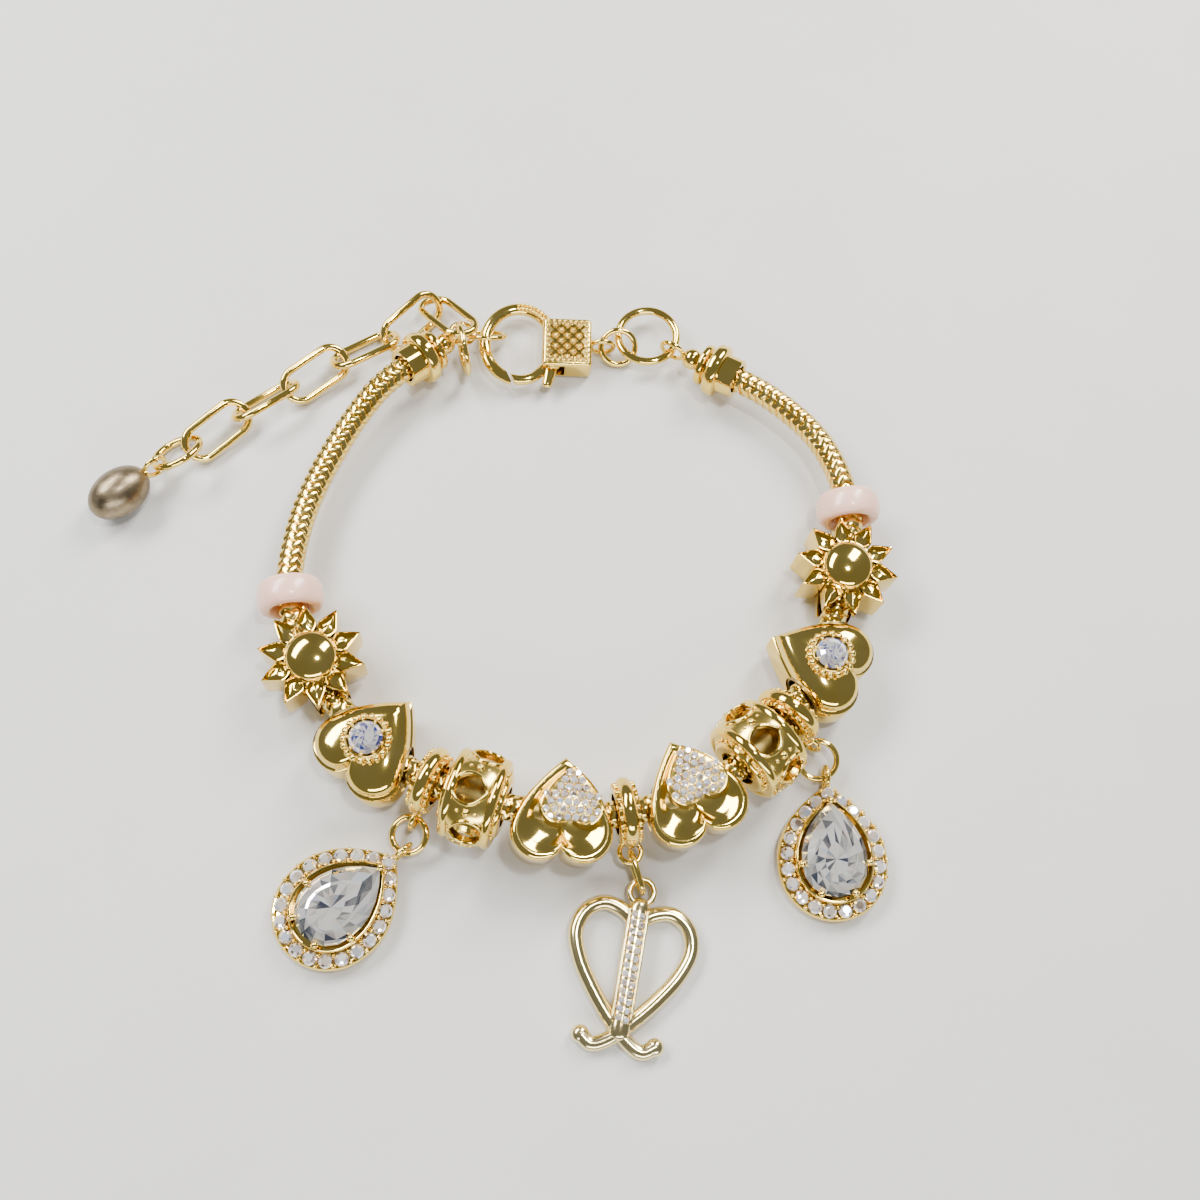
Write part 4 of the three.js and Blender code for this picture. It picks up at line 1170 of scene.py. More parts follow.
@dataclass
class EndCap:
    """A turned cap over one end of the chain, with its eye."""

    socket_depth: float = 2.6
    end_room: float = 0.3
    slope: float = -9.0
    bore: float = 2.05
    wall: float = 0.35
    mouth: float = 1.74
    eye: Spot = (1.45, 0.3)
    ball: Spot = (6.3, 1.3)

    def profile(self) -> Rows:
        """The cap's section, from inside its socket to the end of its ball."""
        outer = self.bore + self.wall
        rows = [
            (self.socket_depth, 0.0), (self.socket_depth, self.mouth), (0.06, self.mouth),
            (0.0, self.mouth + 0.1), (0.0, outer - 0.1), (0.1, outer), (1.98, outer),
            (2.05, 2.75), (2.18, 3.05), (2.42, 3.2), (3.25, 3.2), (3.5, 3.05), (3.6, 2.8),
            (3.63, 1.95), (3.72, 1.9), (4.02, 1.9), (4.08, 1.95), (4.1, 2.3), (4.2, 2.48),
            (4.36, 2.55), (4.74, 2.55), (4.9, 2.46), (5.0, 2.25), (5.04, 1.1), (5.12, 1.0),
            (5.3, 0.92),
        ]
        station, radius = self.ball
        ball = [(station + radius * math.sin(math.radians(a)), radius * math.cos(math.radians(a)))
                for a in range(-48, 90, 12)]
        return [*rows, *ball, (station + radius, 0.0)]

    def build(self, name: str, end: Vector, inner: Vector, eye_roll: float,
              palette: Palette) -> None:
        """Puts the cap on.

        Args:
            name: the cap's name.
            end: the chain's end.
            inner: a point of the chain inside the cap.
            eye_roll: the eye's turn about the cap.
            palette: the finishes.
        """
        away = end - inner
        heading = math.degrees(math.atan2(away.y, away.x))
        drop = math.radians(self.slope)
        along = flat_way(heading) * math.cos(drop) + Vector((0, 0, math.sin(drop)))
        mouth = end + along * (self.end_room - self.socket_depth)
        cap = Work.spun(self.profile(), 56)
        eye = Work.ring(*self.eye)
        Work.moved(eye, shift(self.ball[0] + self.ball[1] + self.eye[0]) @ turn(eye_roll, "X"))
        Work.ship(Work.joined([cap, eye]), f"{name}_turned", set_at(mouth, heading, self.slope),
                  palette.mirror, stands_for=(name,), smooth=38)


@dataclass
class Stopper:
    """A soft ring that grips the chain."""

    radius: float = 3.75
    bore: float = 1.94
    length: float = 3.4
    fullness: float = 0.8
    steps: int = 28

    def build(self, side: Side, place: Matrix, palette: Palette) -> None:
        """Rolls the ring on.

        Args:
            side: which side it is on.
            place: its frame.
            palette: the finishes.
        """
        middle, half = (self.radius + self.bore) / 2, (self.radius - self.bore) / 2
        profile = []
        for i in range(self.steps):
            angle = 2 * math.pi * i / self.steps
            across, up = (math.copysign(abs(way) ** self.fullness, way)
                          for way in (math.sin(angle), math.cos(angle)))
            profile.append((across * self.length / 2, middle + half * up))
        Work.ship(Work.spun(profile, 64), f"{side.value}_stopper_ring", place, palette.silicone,
                  Slot.SILICONE, stands_for=(f"{side.value}_stopper",), smooth=60)


@dataclass
class Sunflower:
    """Ten leaf petals round a mirror dome."""

    petals: int = 10
    tip: float = 5.95
    width: float = 2.7
    thickness: float = 5.6
    dome: Spot = (3.0, 1.3)
    widest: float = 0.42
    steps: int = 12

    def petal(self) -> tuple[Solid, float]:
        """Shapes one petal with a raised rim. Returns it and its middle's distance."""
        root = self.dome[0] * 0.75
        middle = (root + self.tip) / 2
        half = self.width / 2
        flank = []
        for i in range(self.steps + 1):
            t = i / self.steps
            rising = t < self.widest
            swell = (math.sin(math.pi / 2 * t / self.widest) ** 0.8 if rising
                     else ((1 - t) / (1 - self.widest)) ** 0.9)
            flank.append((root + (self.tip - root) * t - middle,
                          max(half * swell * 0.84, 0.4 * (1 - t) ** 2)))
        outline = [(x, -y) for x, y in flank[:-1]] + flank[::-1]
        top = self.thickness / 2
        rows = [(-top, 0.84), (0.25 - top, 0.94), (0.6 - top, 0.98), (top - 0.2, 1.0),
                (top - 0.05, 0.985), (top, 0.94), (top - 0.02, 0.87), (top - 0.12, 0.81),
                (top - 0.5, 0.74), (top - 0.62, 0.68), (top - 0.4, 0.05)]
        return Work.loft(outline, rows), middle

    def build(self, side: Side, place: Matrix, palette: Palette) -> None:
        """Sets the flower on the chain.

        Args:
            side: which side it is on.
            place: its frame.
            palette: the finishes.
        """
        petal, middle = self.petal()
        spots = [turn((i + 0.5) * 360 / self.petals, "Z") @ shift(middle)
                 for i in range(self.petals)]
        petals = Work.bored(Work.copies(petal, spots), 4 * self.tip)
        radius, rise = self.dome
        half = self.thickness / 2
        profile = [(-half, 0.0), (-half, radius - 0.5), (0.2 - half, radius - 0.3),
                   (half - 0.55, radius - 0.2), (half - 0.5, radius + 0.02),
                   (half - 0.3, radius + 0.1), (half - 0.12, radius + 0.02),
                   (half - 0.1, radius - 0.12)]
        profile += [(half - 0.1 + (rise + 0.1) * math.sin(math.radians(a)),
                     (radius - 0.12) * math.cos(math.radians(a))) for a in range(8, 90, 9)]
        core = Work.moved(Work.spun([*profile, (half + rise, 0.0)], 56), turn(-90, "Y"))
        Work.bored(core, 4 * self.tip)
        name = side.value
        # The sleeve is a dark lining of painted shade inside the bore.
        hull = Work.block((2 * radius - 0.5, 2 * radius, self.thickness), (0, 0, 0))
        Work.ship(Work.sleeve(hull), f"{name}_sunflower_shade_sleeve", place, palette.painted_shade, smooth=50)
        Work.ship(petals, f"{name}_sunflower_petals", place, palette.mirror, smooth=35,
                  stands_for=(f"{name}_sunflower",))
        Work.ship(core, f"{name}_sunflower_dome", place, palette.mirror, smooth=35)


@dataclass
class StoneHeart:
    """A smooth puffed heart with a round stone in a granulated collar."""

    width: float = 11.4
    length: float = 11.6
    thickness: float = 7.0
    collar: Triple = (2.75, 0.9, -0.8)
    stone: Triple = (1.85, 0.75, 1.5)
    granules: int = 18
    prongs: int = 9

    def body(self) -> Solid:
        """Shapes the heart: side wall, rim step and puffed face."""
        half = self.thickness / 2
        edge, share = 1.1, 0.952
        rows = [(-half, 0.74), (0.15 - half, 0.86), (0.5 - half, 0.95), (1.0 - half, 0.99),
                (1.5 - half, 1.0), (0.85, 1.0), (1.0, 0.992), (1.06, 0.975), (edge, share)]
        for i in range(1, 12):
            t = i / 12
            rows.append((edge + (half - edge) * t ** 0.9, share * (1 - t ** 2.6) ** (1 / 2.4)))
        rows.append((half, 0.12))
        return Work.loft(heart_points(self.width, self.length), rows, pole=True)

    def brilliant(self) -> Solid:
        """Cuts the round stone."""
        radius, crown, depth = self.stone
        rows = [(-depth, 0.1), (-0.12, 1.0), (0.0, 1.0), (crown * 0.6, 0.80), (crown, 0.56),
                (crown, 0.3)]
        return Work.cut_stone(ring_points(radius, 16, 0.0), rows)

    def build(self, side: Side, place: Matrix, palette: Palette) -> None:
        """Sets the heart, its collar and its stone on the chain.

        Args:
            side: which side it is on.
            place: its frame.
            palette: the finishes.
        """
        name = side.value
        half = self.thickness / 2
        radius, rise, drift = self.collar
        top = half + rise
        seat = place @ shift(0, drift, 0)
        # The sleeve is a dark lining of painted shade inside the bore.
        Work.ship(Work.sleeve(heart_hull(self.width, self.length, half)),
                  f"{name}_stone_heart_shade_sleeve", place, palette.painted_shade, smooth=50)
        heart = Work.bored(self.body(), 2 * self.width)
        pocket = Work.moved(Work.loft(ring_points(2.2, 32), [(top - 1.9, 1.0), (top + 1.0, 1.0)]),
                            shift(0, drift, 0))
        Work.ship(Work.cut(heart, pocket), f"{name}_stone_heart_body", place, palette.mirror,
                  stands_for=(f"{name}_stone_heart",), smooth=30)
        bezel = [(half - 0.9, 1.98), (half - 0.9, 2.5), (top - 0.5, 2.42), (top - 0.05, 2.2),
                 (top, 2.12), (top - 0.05, 2.06), (top - 0.5, 1.98)]
        wall = Work.moved(Work.spun(bezel, 48), turn(-90, "Y"))
        floor = Work.loft(ring_points(2.1, 32), [(top - 2.0, 1.0), (top - 1.85, 1.0)])
        Work.ship(Work.joined([wall, floor]), f"{name}_heart_bezel", seat, palette.soft)
        spots = [turn(360 * i / self.granules, "Z") @ shift(radius - 0.32, 0, half + rise * 0.38)
                 for i in range(self.granules)]
        prongs = [turn(360 * (i + 0.5) / self.prongs, "Z") @ shift(1.93, 0, top + 0.14)
                  for i in range(self.prongs)]
        balls = Work.joined([Work.granules(0.45, spots), Work.granules(0.22, prongs)])
        Work.ship(balls, f"{name}_heart_granules", seat, palette.mirror, smooth=60)
        Work.ship(self.brilliant(), f"{name}_heart_brilliant", seat @ shift(0, 0, top),
                  palette.round_stone, Slot.CRYSTAL, stands_for=(f"{name}_heart_stone",), smooth=0)


@dataclass
class PaveHeart:
    """A rimmed heart with a small raised heart full of tiny stones."""

    width: float = 11.0
    length: float = 11.2
    thickness: float = 6.0
    inset: tuple[float, float, float, float] = (6.9, 6.5, 0.9, 1.5)
    rise: float = 0.5
    stone: float = 0.45

    def stones(self) -> tuple[list[Matrix], list[Matrix]]:
        """Finds where the tiny stones and the grains between them go."""
        width, length, _, _ = self.inset
        room = heart_points(width * 0.9, length * 0.9)
        pitch = self.stone * 2.02
        top = self.thickness / 2 + self.rise
        stones, grains = [], []
        for row in range(-5, 6):
            for column in range(-5, 6):
                x = (column + (0.5 if row % 2 else 0.0)) * pitch
                y = row * pitch * 0.87
                for spots, dx, dy in ((stones, 0.0, 0.0), (grains, pitch / 2, pitch * 0.29)):
                    if inside(room, x + dx, y + dy):
                        fall = math.hypot(x + dx, y + dy) / (width / 2)
                        height = top - 0.12 - 0.55 * fall * fall
                        spots.append(shift(x + dx, y + dy, height))
        return stones, grains

    def build(self, side: Side, place: Matrix, palette: Palette) -> None:
        """Sets the heart on the chain.

        Args:
            side: which side it is on.
            place: its frame.
            palette: the finishes.
        """
        name = side.value
        half = self.thickness / 2
        rows = [(-half, 0.76), (0.15 - half, 0.88), (0.5 - half, 0.96), (1.1 - half, 1.0)]
        rows += [(half - fall, share) for fall, share in (
            (0.75, 1.0), (0.4, 0.992), (0.15, 0.965), (0.02, 0.92), (0.0, 0.885), (0.05, 0.84),
            (0.22, 0.78), (0.5, 0.70), (0.78, 0.62), (0.98, 0.52), (1.08, 0.4), (1.1, 0.1))]
        # The sleeve is a dark lining of painted shade inside the bore.
        Work.ship(Work.sleeve(heart_hull(self.width, self.length, half)),
                  f"{name}_pave_heart_shade_sleeve", place, palette.painted_shade, smooth=50)
        heart = Work.bored(Work.loft(heart_points(self.width, self.length), rows), 2 * self.width)
        Work.ship(heart, f"{name}_pave_heart_body", place, palette.mirror,
                  stands_for=(f"{name}_pave_heart",), smooth=32)
        width, length, dx, dy = self.inset
        top = half + self.rise
        rows = [(half - 1.4, 1.0), (half - 0.1, 1.0), (half + 0.06, 0.985), (half + 0.1, 0.955),
                (half + 0.06, 0.925), (half - 0.05, 0.9), (half + 0.05, 0.75), (top - 0.35, 0.45),
                (top - 0.28, 0.1)]
        spot = place @ shift(dx, dy)
        bed = Work.loft(heart_points(width, length), rows)
        Work.ship(bed, f"{name}_pave_heart_bed", spot, palette.soft)
        stones, grains = self.stones()
        Work.ship(Work.copies(Work.small_stone(self.stone, 0.28), tipped(stones)),
                  f"{name}_pave_heart_stones", spot, palette.small_stone, Slot.CRYSTAL, smooth=0)
        Work.ship(Work.granules(0.16, grains), f"{name}_pave_heart_grains",
                  spot @ shift(0, 0, 0.08), palette.mirror, smooth=60)


@dataclass
class OpenworkBead:
    """A pierced barrel between two mirror rings."""

    radius: float = 5.4
    length: float = 6.8
    ring: float = 3.5
    windows: int = 6
    window: Spot = (3.2, 3.5)
    mirror_ring: Spot = (4.4, 0.6)
    ring_station: float = 2.3
    window_shift: float = 0.45
    wall: float = 0.75
    roll: float = 0.42
    granules: int = 26

    def reach(self, station: float) -> float:
        """The barrel's radius at a station along it."""
        share = min(1.0, abs(station) / (self.length / 2 * 0.92))
        return self.ring + (self.radius - 0.3 - self.ring) * math.sqrt(max(0.0, 1 - share ** 2.3))

    def window_outline(self, width: float, length: float, flip: bool) -> Outline:
        """A window laid flat.

        Args:
            width: its width.
            length: its length.
            flip: whether its tip points the other way.

        Returns:
            Its outline.
        """
        way = -1 if flip else 1
        return [((x - self.window_shift) * way, y)
                for x, y in teardrop_points(width, length, 9, 12)]

    def window_line(self, grow: float, flip: bool) -> Points:
        """The edge of a window on the barrel.

        Args:
            grow: how far outside the opening the line runs.
            flip: whether the window's tip points the other way.

        Returns:
            The line's points.
        """
        width, length = self.window
        line = []
        for x, y in self.window_outline(width + 2 * grow, length + 2 * grow, flip):
            reach = self.reach(x)
            line.append((x, reach * math.sin(y / reach), reach * math.cos(y / reach)))
        return line

    def build(self, side: Side, place: Matrix, palette: Palette) -> None:
        """Sets the bead on the chain.

        Args:
            side: which side it is on.
            place: its frame.
            palette: the finishes.
        """
        name = side.value
        half = self.length / 2
        stations = [half * (0.8 - 1.6 * i / 18) for i in range(19)]
        outer = [(-s, self.reach(s)) for s in stations]
        inner = [(s, self.reach(s) - self.wall) for s in stations if abs(s) < half * 0.62]
        foot = HOLE + 0.2
        profile = [(-half + 0.55, foot), *outer, (half - 0.55, foot), (half - 1.05, foot), *inner,
                   (1.05 - half, foot)]
        shell = Work.spun(profile, 72)
        angles = [i * 360 / self.windows for i in range(self.windows)]
        cutters, rims = [], []
        for i, angle in enumerate(angles):
            flip = bool(i % 2)
            blade = Work.loft(self.window_outline(*self.window, flip),
                              [(self.ring - 0.5, 0.9), (self.radius * 1.3, 1.1)])
            cutters.append(Work.moved(blade, turn(angle, "X")))
            rim = Work.tube(self.window_line(0.16, flip), 0.2, closed=True, sides=3)
            rims.append(Work.moved(rim, turn(angle, "X")))
        # The liner is a dark tube of painted shade inside the bore.
        reach, outside, bore = 2.5, HOLE + 0.25, HOLE + 0.1
        liner = Work.spun([(-reach, outside), (reach, outside), (reach, bore), (-reach, bore)], 40)
        Work.ship(liner, f"{name}_openwork_shade_liner", place, palette.painted_shade, smooth=50)
        Work.cut(shell, Work.closed(Work.joined(cutters)))
        Work.ship(shell, f"{name}_openwork_shell", place, palette.soft,
                  stands_for=(f"{name}_openwork_bead",))
        Work.ship(Work.joined(rims), f"{name}_openwork_rims", place, palette.mirror, smooth=60)
        self._rings(name, place, palette)
        grains = [turn(360 * i / self.granules, "X") @ shift(way * (half - 0.62), 0, 3.55)
                  for way in (-1, 1) for i in range(self.granules)]
        for angle in angles:
            between = turn(angle + 180 / self.windows, "X")
            for station, size in ((-1.0, 1.0), (0.0, 1.9), (1.0, 1.0)):
                rise = self.reach(station) - 0.1 * size
                grains.append(between @ shift(station, 0, rise) @ Matrix.Scale(size, 4))
        Work.ship(Work.granules(0.27, grains), f"{name}_openwork_granules", place,
                  palette.mirror, smooth=60)

    def _rings(self, name: str, place: Matrix, palette: Palette) -> None:
        """Closes the barrel's two ends with mirror rings, rolled rims and lips.

        Args:
            name: which side the bead is on.
            place: its frame.
            palette: the finishes.
        """
        half, roll = self.length / 2, self.roll
        collars = []
        for way in (-1, 1):
            collars.append(Work.moved(Work.ring(*self.mirror_ring, around=64),
                                      shift(way * self.ring_station) @ turn(90, "Y")))
            section = [(way * (half - roll + roll * math.sin(a)),
                        self.ring - roll + roll * math.cos(a))
                       for a in (2 * math.pi * i / 14 for i in range(14))]
            collars.append(Work.spun(section, 56))
            outside, within, edge = way * (half - 0.02), way * (half - 0.6), self.ring - 0.4
            lip = [(outside, HOLE), (outside, edge), (within, edge), (within, HOLE)]
            collars.append(Work.spun(lip, 48))
        Work.ship(Work.joined(collars), f"{name}_openwork_rings", place, palette.mirror, smooth=45)


@dataclass
class DangleSpacer:
    """A round spacer with granulated sides and an eye for a pendant."""

    radius: float = 3.9
    ring: float = 3.05
    length: float = 2.5
    eye: Spot = (1.2, 0.28)
    drop: float = 35.0
    granules: int = 20

    @property
    def eye_reach(self) -> float:
        """How far the eye's middle is from the chain's."""
        return self.radius + self.eye[0] - self.eye[1]

    def build(self, name: str, place: Matrix, across: bool, palette: Palette) -> None:
        """Sets the spacer on the chain.

        Args:
            name: which spacer it is.
            place: its frame.
            across: whether the eye's hole runs across the chain.
            palette: the finishes.
        """
        half = self.length / 2
        profile = [(-half, HOLE), (-half, self.ring - 0.12), (0.1 - half, self.ring),
                   (0.42 - half, self.ring + 0.02)]
        step = 0.15
        for i in range(11):
            s = -0.8 + 1.6 * i / 10
            swell = (self.radius - self.ring - step) * math.sqrt(1 - (s / 0.84) ** 2)
            profile.append((s, self.ring + step + swell))
        profile += [(half - 0.42, self.ring + 0.02), (half - 0.1, self.ring),
                    (half, self.ring - 0.12), (half, HOLE)]
        band = Work.spun(profile, 56)
        eye = Work.ring(*self.eye, around=32)
        pose = turn(-self.drop, "X") if across else turn(90, "Z") @ turn(90, "X")
        Work.moved(eye, turn(self.drop, "X") @ shift(0, -self.eye_reach, 0) @ pose)
        Work.ship(Work.joined([band, eye]), f"{name}_spacer_band", place, palette.mirror,
                  stands_for=(f"{name}_dangle_spacer",))
        spots = [turn(360 * i / self.granules, "X")
                 @ shift(way * (half - 0.28), 0, self.ring + 0.08)
                 for way in (-1, 1) for i in range(self.granules)]
        Work.ship(Work.granules(0.3, spots), f"{name}_spacer_granules", place, palette.mirror,
                  smooth=60)


@dataclass
class Teardrop:
    """A flat-backed pear-shaped setting with a halo of stones."""

    width: float = 12.4
    length: float = 15.2
    base: float = 1.6
    halo: int = 21
    halo_stone: float = 0.82
    pear: tuple[float, float, float, float] = (7.4, 10.6, 0.9, 1.1)
    bezel_rise: float = 1.1
    eye: Spot = (1.12, 0.28)

    def pear_stone(self) -> Solid:
        """Cuts the pear stone: girdle, two rows of crown facets and a table."""
        width, length, crown, depth = self.pear
        outline = teardrop_points(width, length, 5, 8)
        rows = [(-depth, 0.15), (-0.1, 1.0), (0.0, 1.0), (crown * 0.5, 0.86),
                (crown * 0.9, 0.66), (crown, 0.58), (crown, 0.34)]
        return Work.cut_stone(outline, rows)

    def build(self, side: Side, place: Matrix, palette: Palette) -> None:
        """Lays the pendant down.

        Args:
            side: which side it is on.
            place: its frame, on the surface.
            palette: the finishes.
        """
        name = side.value
        width, length, _, _ = self.pear
        base, lift = self.base, self.base + self.bezel_rise
        rows = [(0.0, 0.93), (0.12, 0.96), (0.45, 0.99), (0.8, 1.0), (base - 0.2, 1.0),
                (base - 0.02, 0.985), (base + 0.1, 0.965), (base + 0.08, 0.945),
                (base - 0.05, 0.93), (base - 0.12, 0.9), (base - 0.12, 0.62)]
        plate = Work.loft(teardrop_points(self.width, self.length), rows)
        hollow = teardrop_points(width + 0.9, length + 0.9)
        Work.cut(plate, Work.loft(hollow, [(0.95, 1.0), (lift + 1, 1.0)]))
        eye = Work.ring(*self.eye, around=32)
        reach = self.length - self.width / 2 + self.eye[0] - 0.2
        Work.moved(eye, shift(reach, 0, self.eye[0] + self.eye[1] + 0.05) @ turn(90, "X"))
        lug = Work.tube([(reach - 2.1, 0, 0.9), (reach - 1.05, 0, 1.25)], 0.5)
        Work.ship(Work.joined([plate, eye, lug]), f"{name}_teardrop_plate", place, palette.mirror,
                  stands_for=(f"{name}_teardrop_setting",))
        rows = [(base - 0.3, 1.0), (lift - 0.25, 0.985), (lift - 0.05, 0.965), (lift, 0.945),
                (lift - 0.04, 0.925)]
        bezel = Work.loft(teardrop_points(width + 1.5, length + 1.5), rows)
        Work.cut(bezel, Work.loft(hollow, [(0.9, 0.985), (lift + 1, 0.985)]))
        Work.ship(bezel, f"{name}_teardrop_bezel", place, palette.mirror)
        self._halo(name, place, palette)
        reach, rise = width / 2 + 0.1, lift + 0.22
        tips = [turn(a, "Z") @ shift(reach, 0, rise) for a in (90, 150, 210, 270)]
        tips.append(shift(length - width / 2 + 0.1, 0, rise))
        Work.ship(Work.granules(0.42, tips), f"{name}_teardrop_claws", place, palette.mirror,
                  smooth=60)
        Work.ship(self.pear_stone(), f"{name}_teardrop_pear", place @ shift(0, 0, lift - 0.3),
                  palette.pear_stone, Slot.CRYSTAL, stands_for=(f"{name}_teardrop_stone",),
                  smooth=0)

    def _halo(self, name: str, place: Matrix, palette: Palette) -> None:
        """Sets the halo's stones with two grains between each pair.

        Args:
            name: which side the pendant is on.
            place: its frame.
            palette: the finishes.
        """
        inset = 2 * (self.halo_stone + 0.22)
        line = teardrop_points(self.width - inset, self.length - inset)
        stones = [shift(x, y, self.base + 0.16) for x, y in spaced(line, self.halo)]
        Work.ship(Work.copies(Work.small_stone(self.halo_stone, 0.5, 10), tipped(stones)),
                  f"{name}_teardrop_halo", place, palette.small_stone, Slot.CRYSTAL, smooth=0)
        grains = []
        for edge in (0.24, 2 * self.halo_stone - 0.16):
            path = teardrop_points(self.width - 2 * edge, self.length - 2 * edge)
            grains += [shift(x, y, self.base + 0.42) for x, y in spaced(path, self.halo, 0.5)]
        Work.ship(Work.granules(0.24, grains), f"{name}_teardrop_prongs", place, palette.mirror,
                  smooth=60)


@dataclass
class ScrollPendant:
    """An open leaf of two mirrored curled bars round a stem filled with tiny stones."""

    length: float = 17.28
    tilt: float = -10.0
    stem: Spot = (2.5, 2.1)
    bar: Spot = (1.7, 1.7)
    eye: Triple = (1.35, 0.33, 1.4)
    rim: float = 0.98
    stone_pitch: float = 0.86

    def line(self, shares: Outline, height: float) -> Points:
        """A smooth line from shares of the pendant's length."""
        return smooth_path([(x * self.length, y * self.length, height / 2) for x, y in shares])

    def build(self, place: Matrix, palette: Palette) -> None:
        """Lays the pendant down.

        Args:
            place: its frame, under its eye.
            palette: the finishes.
        """
        place = place @ turn(self.tilt, "Z")
        stem = self.line([(0.0, -0.09), (0.0, -0.34), (0.0, -0.6), (0.0, -0.86)], self.stem[1])
        side = self.line([(0.0, -0.2), (0.1, -0.125), (0.22, -0.1), (0.33, -0.17), (0.37, -0.3),
                          (0.32, -0.46), (0.2, -0.64), (0.07, -0.79), (-0.06, -0.91),
                          (-0.16, -0.955), (-0.235, -0.91)], self.bar[1])
        parts = [Work.tube(stem, self.stem[0] / 2, flat=self.stem[1] / self.stem[0], sides=6),
                 Work.moved(Work.ring(*self.eye[:2], around=36), shift(0, 0, self.eye[2]))]
        for way in (-1, 1):
            path = [(way * x, y, z) for x, y, z in side]
            parts.append(Work.tube(path, self.bar[0] / 2, flat=self.bar[1] / self.bar[0], sides=6))
            knob = Work.granule(1.0)
            Work.edit_all(knob)
            bpy.ops.mesh.subdivide(number_cuts=2, smoothness=1.0)
            Work.clear()
            squat = Matrix.Diagonal((1, 1, 0.84, 1))
            parts.append(Work.moved(knob, Matrix.Translation(path[-1]) @ squat))
        Work.ship(Work.joined(parts), "scroll_pendant_bars", place, palette.pale, smooth=50,
                  stands_for=("scroll_pendant",))
        self._stones(stem, place, palette)

    def _stones(self, stem: Points, place: Matrix, palette: Palette) -> None:
        """Sets the stem's stones between two thin rims.

        Args:
            stem: the stem's line.
            place: the pendant's frame.
            palette: the finishes.
        """
        route = Route([Vector(point) for point in stem])
        top = self.stem[1]
        end = route.length * 0.92
        rims = []
        for way in (-1, 1):
            path = []
            for i in range(25):
                station = 0.5 + (end - 0.5) * i / 24
                along = route.tangent(station)
                spot = route.at(station) + Vector((-along.y, along.x, 0)) * way * self.rim
                path.append((spot.x, spot.y, top - 0.16))
            rims.append(Work.tube(path, 0.2, sides=3))
        Work.ship(Work.joined(rims), "scroll_pendant_rims", place, palette.pale, smooth=60)
        stones, grains = [], []
        count = round((end - 1.0) / self.stone_pitch)
        for i in range(count):
            station = 0.9 + (end - 1.3) * i / (count - 1)
            along = route.tangent(station)
            left = Vector((-along.y, along.x, 0))
            for way, ahead in ((-0.42, 0.0), (0.42, 0.2)):
                spot = route.at(station + ahead) + left * way
                stones.append(shift(spot.x, spot.y, top + 0.02))
            spot = route.at(station + 0.45)
            grains.append(shift(spot.x, spot.y, top + 0.2))
        Work.ship(Work.copies(Work.small_stone(0.40, 0.26), tipped(stones)),
                  "scroll_pendant_stones", place, palette.small_stone, Slot.CRYSTAL, smooth=0)
        Work.ship(Work.granules(0.13, grains), "scroll_pendant_grains", place, palette.mirror,
                  smooth=60)


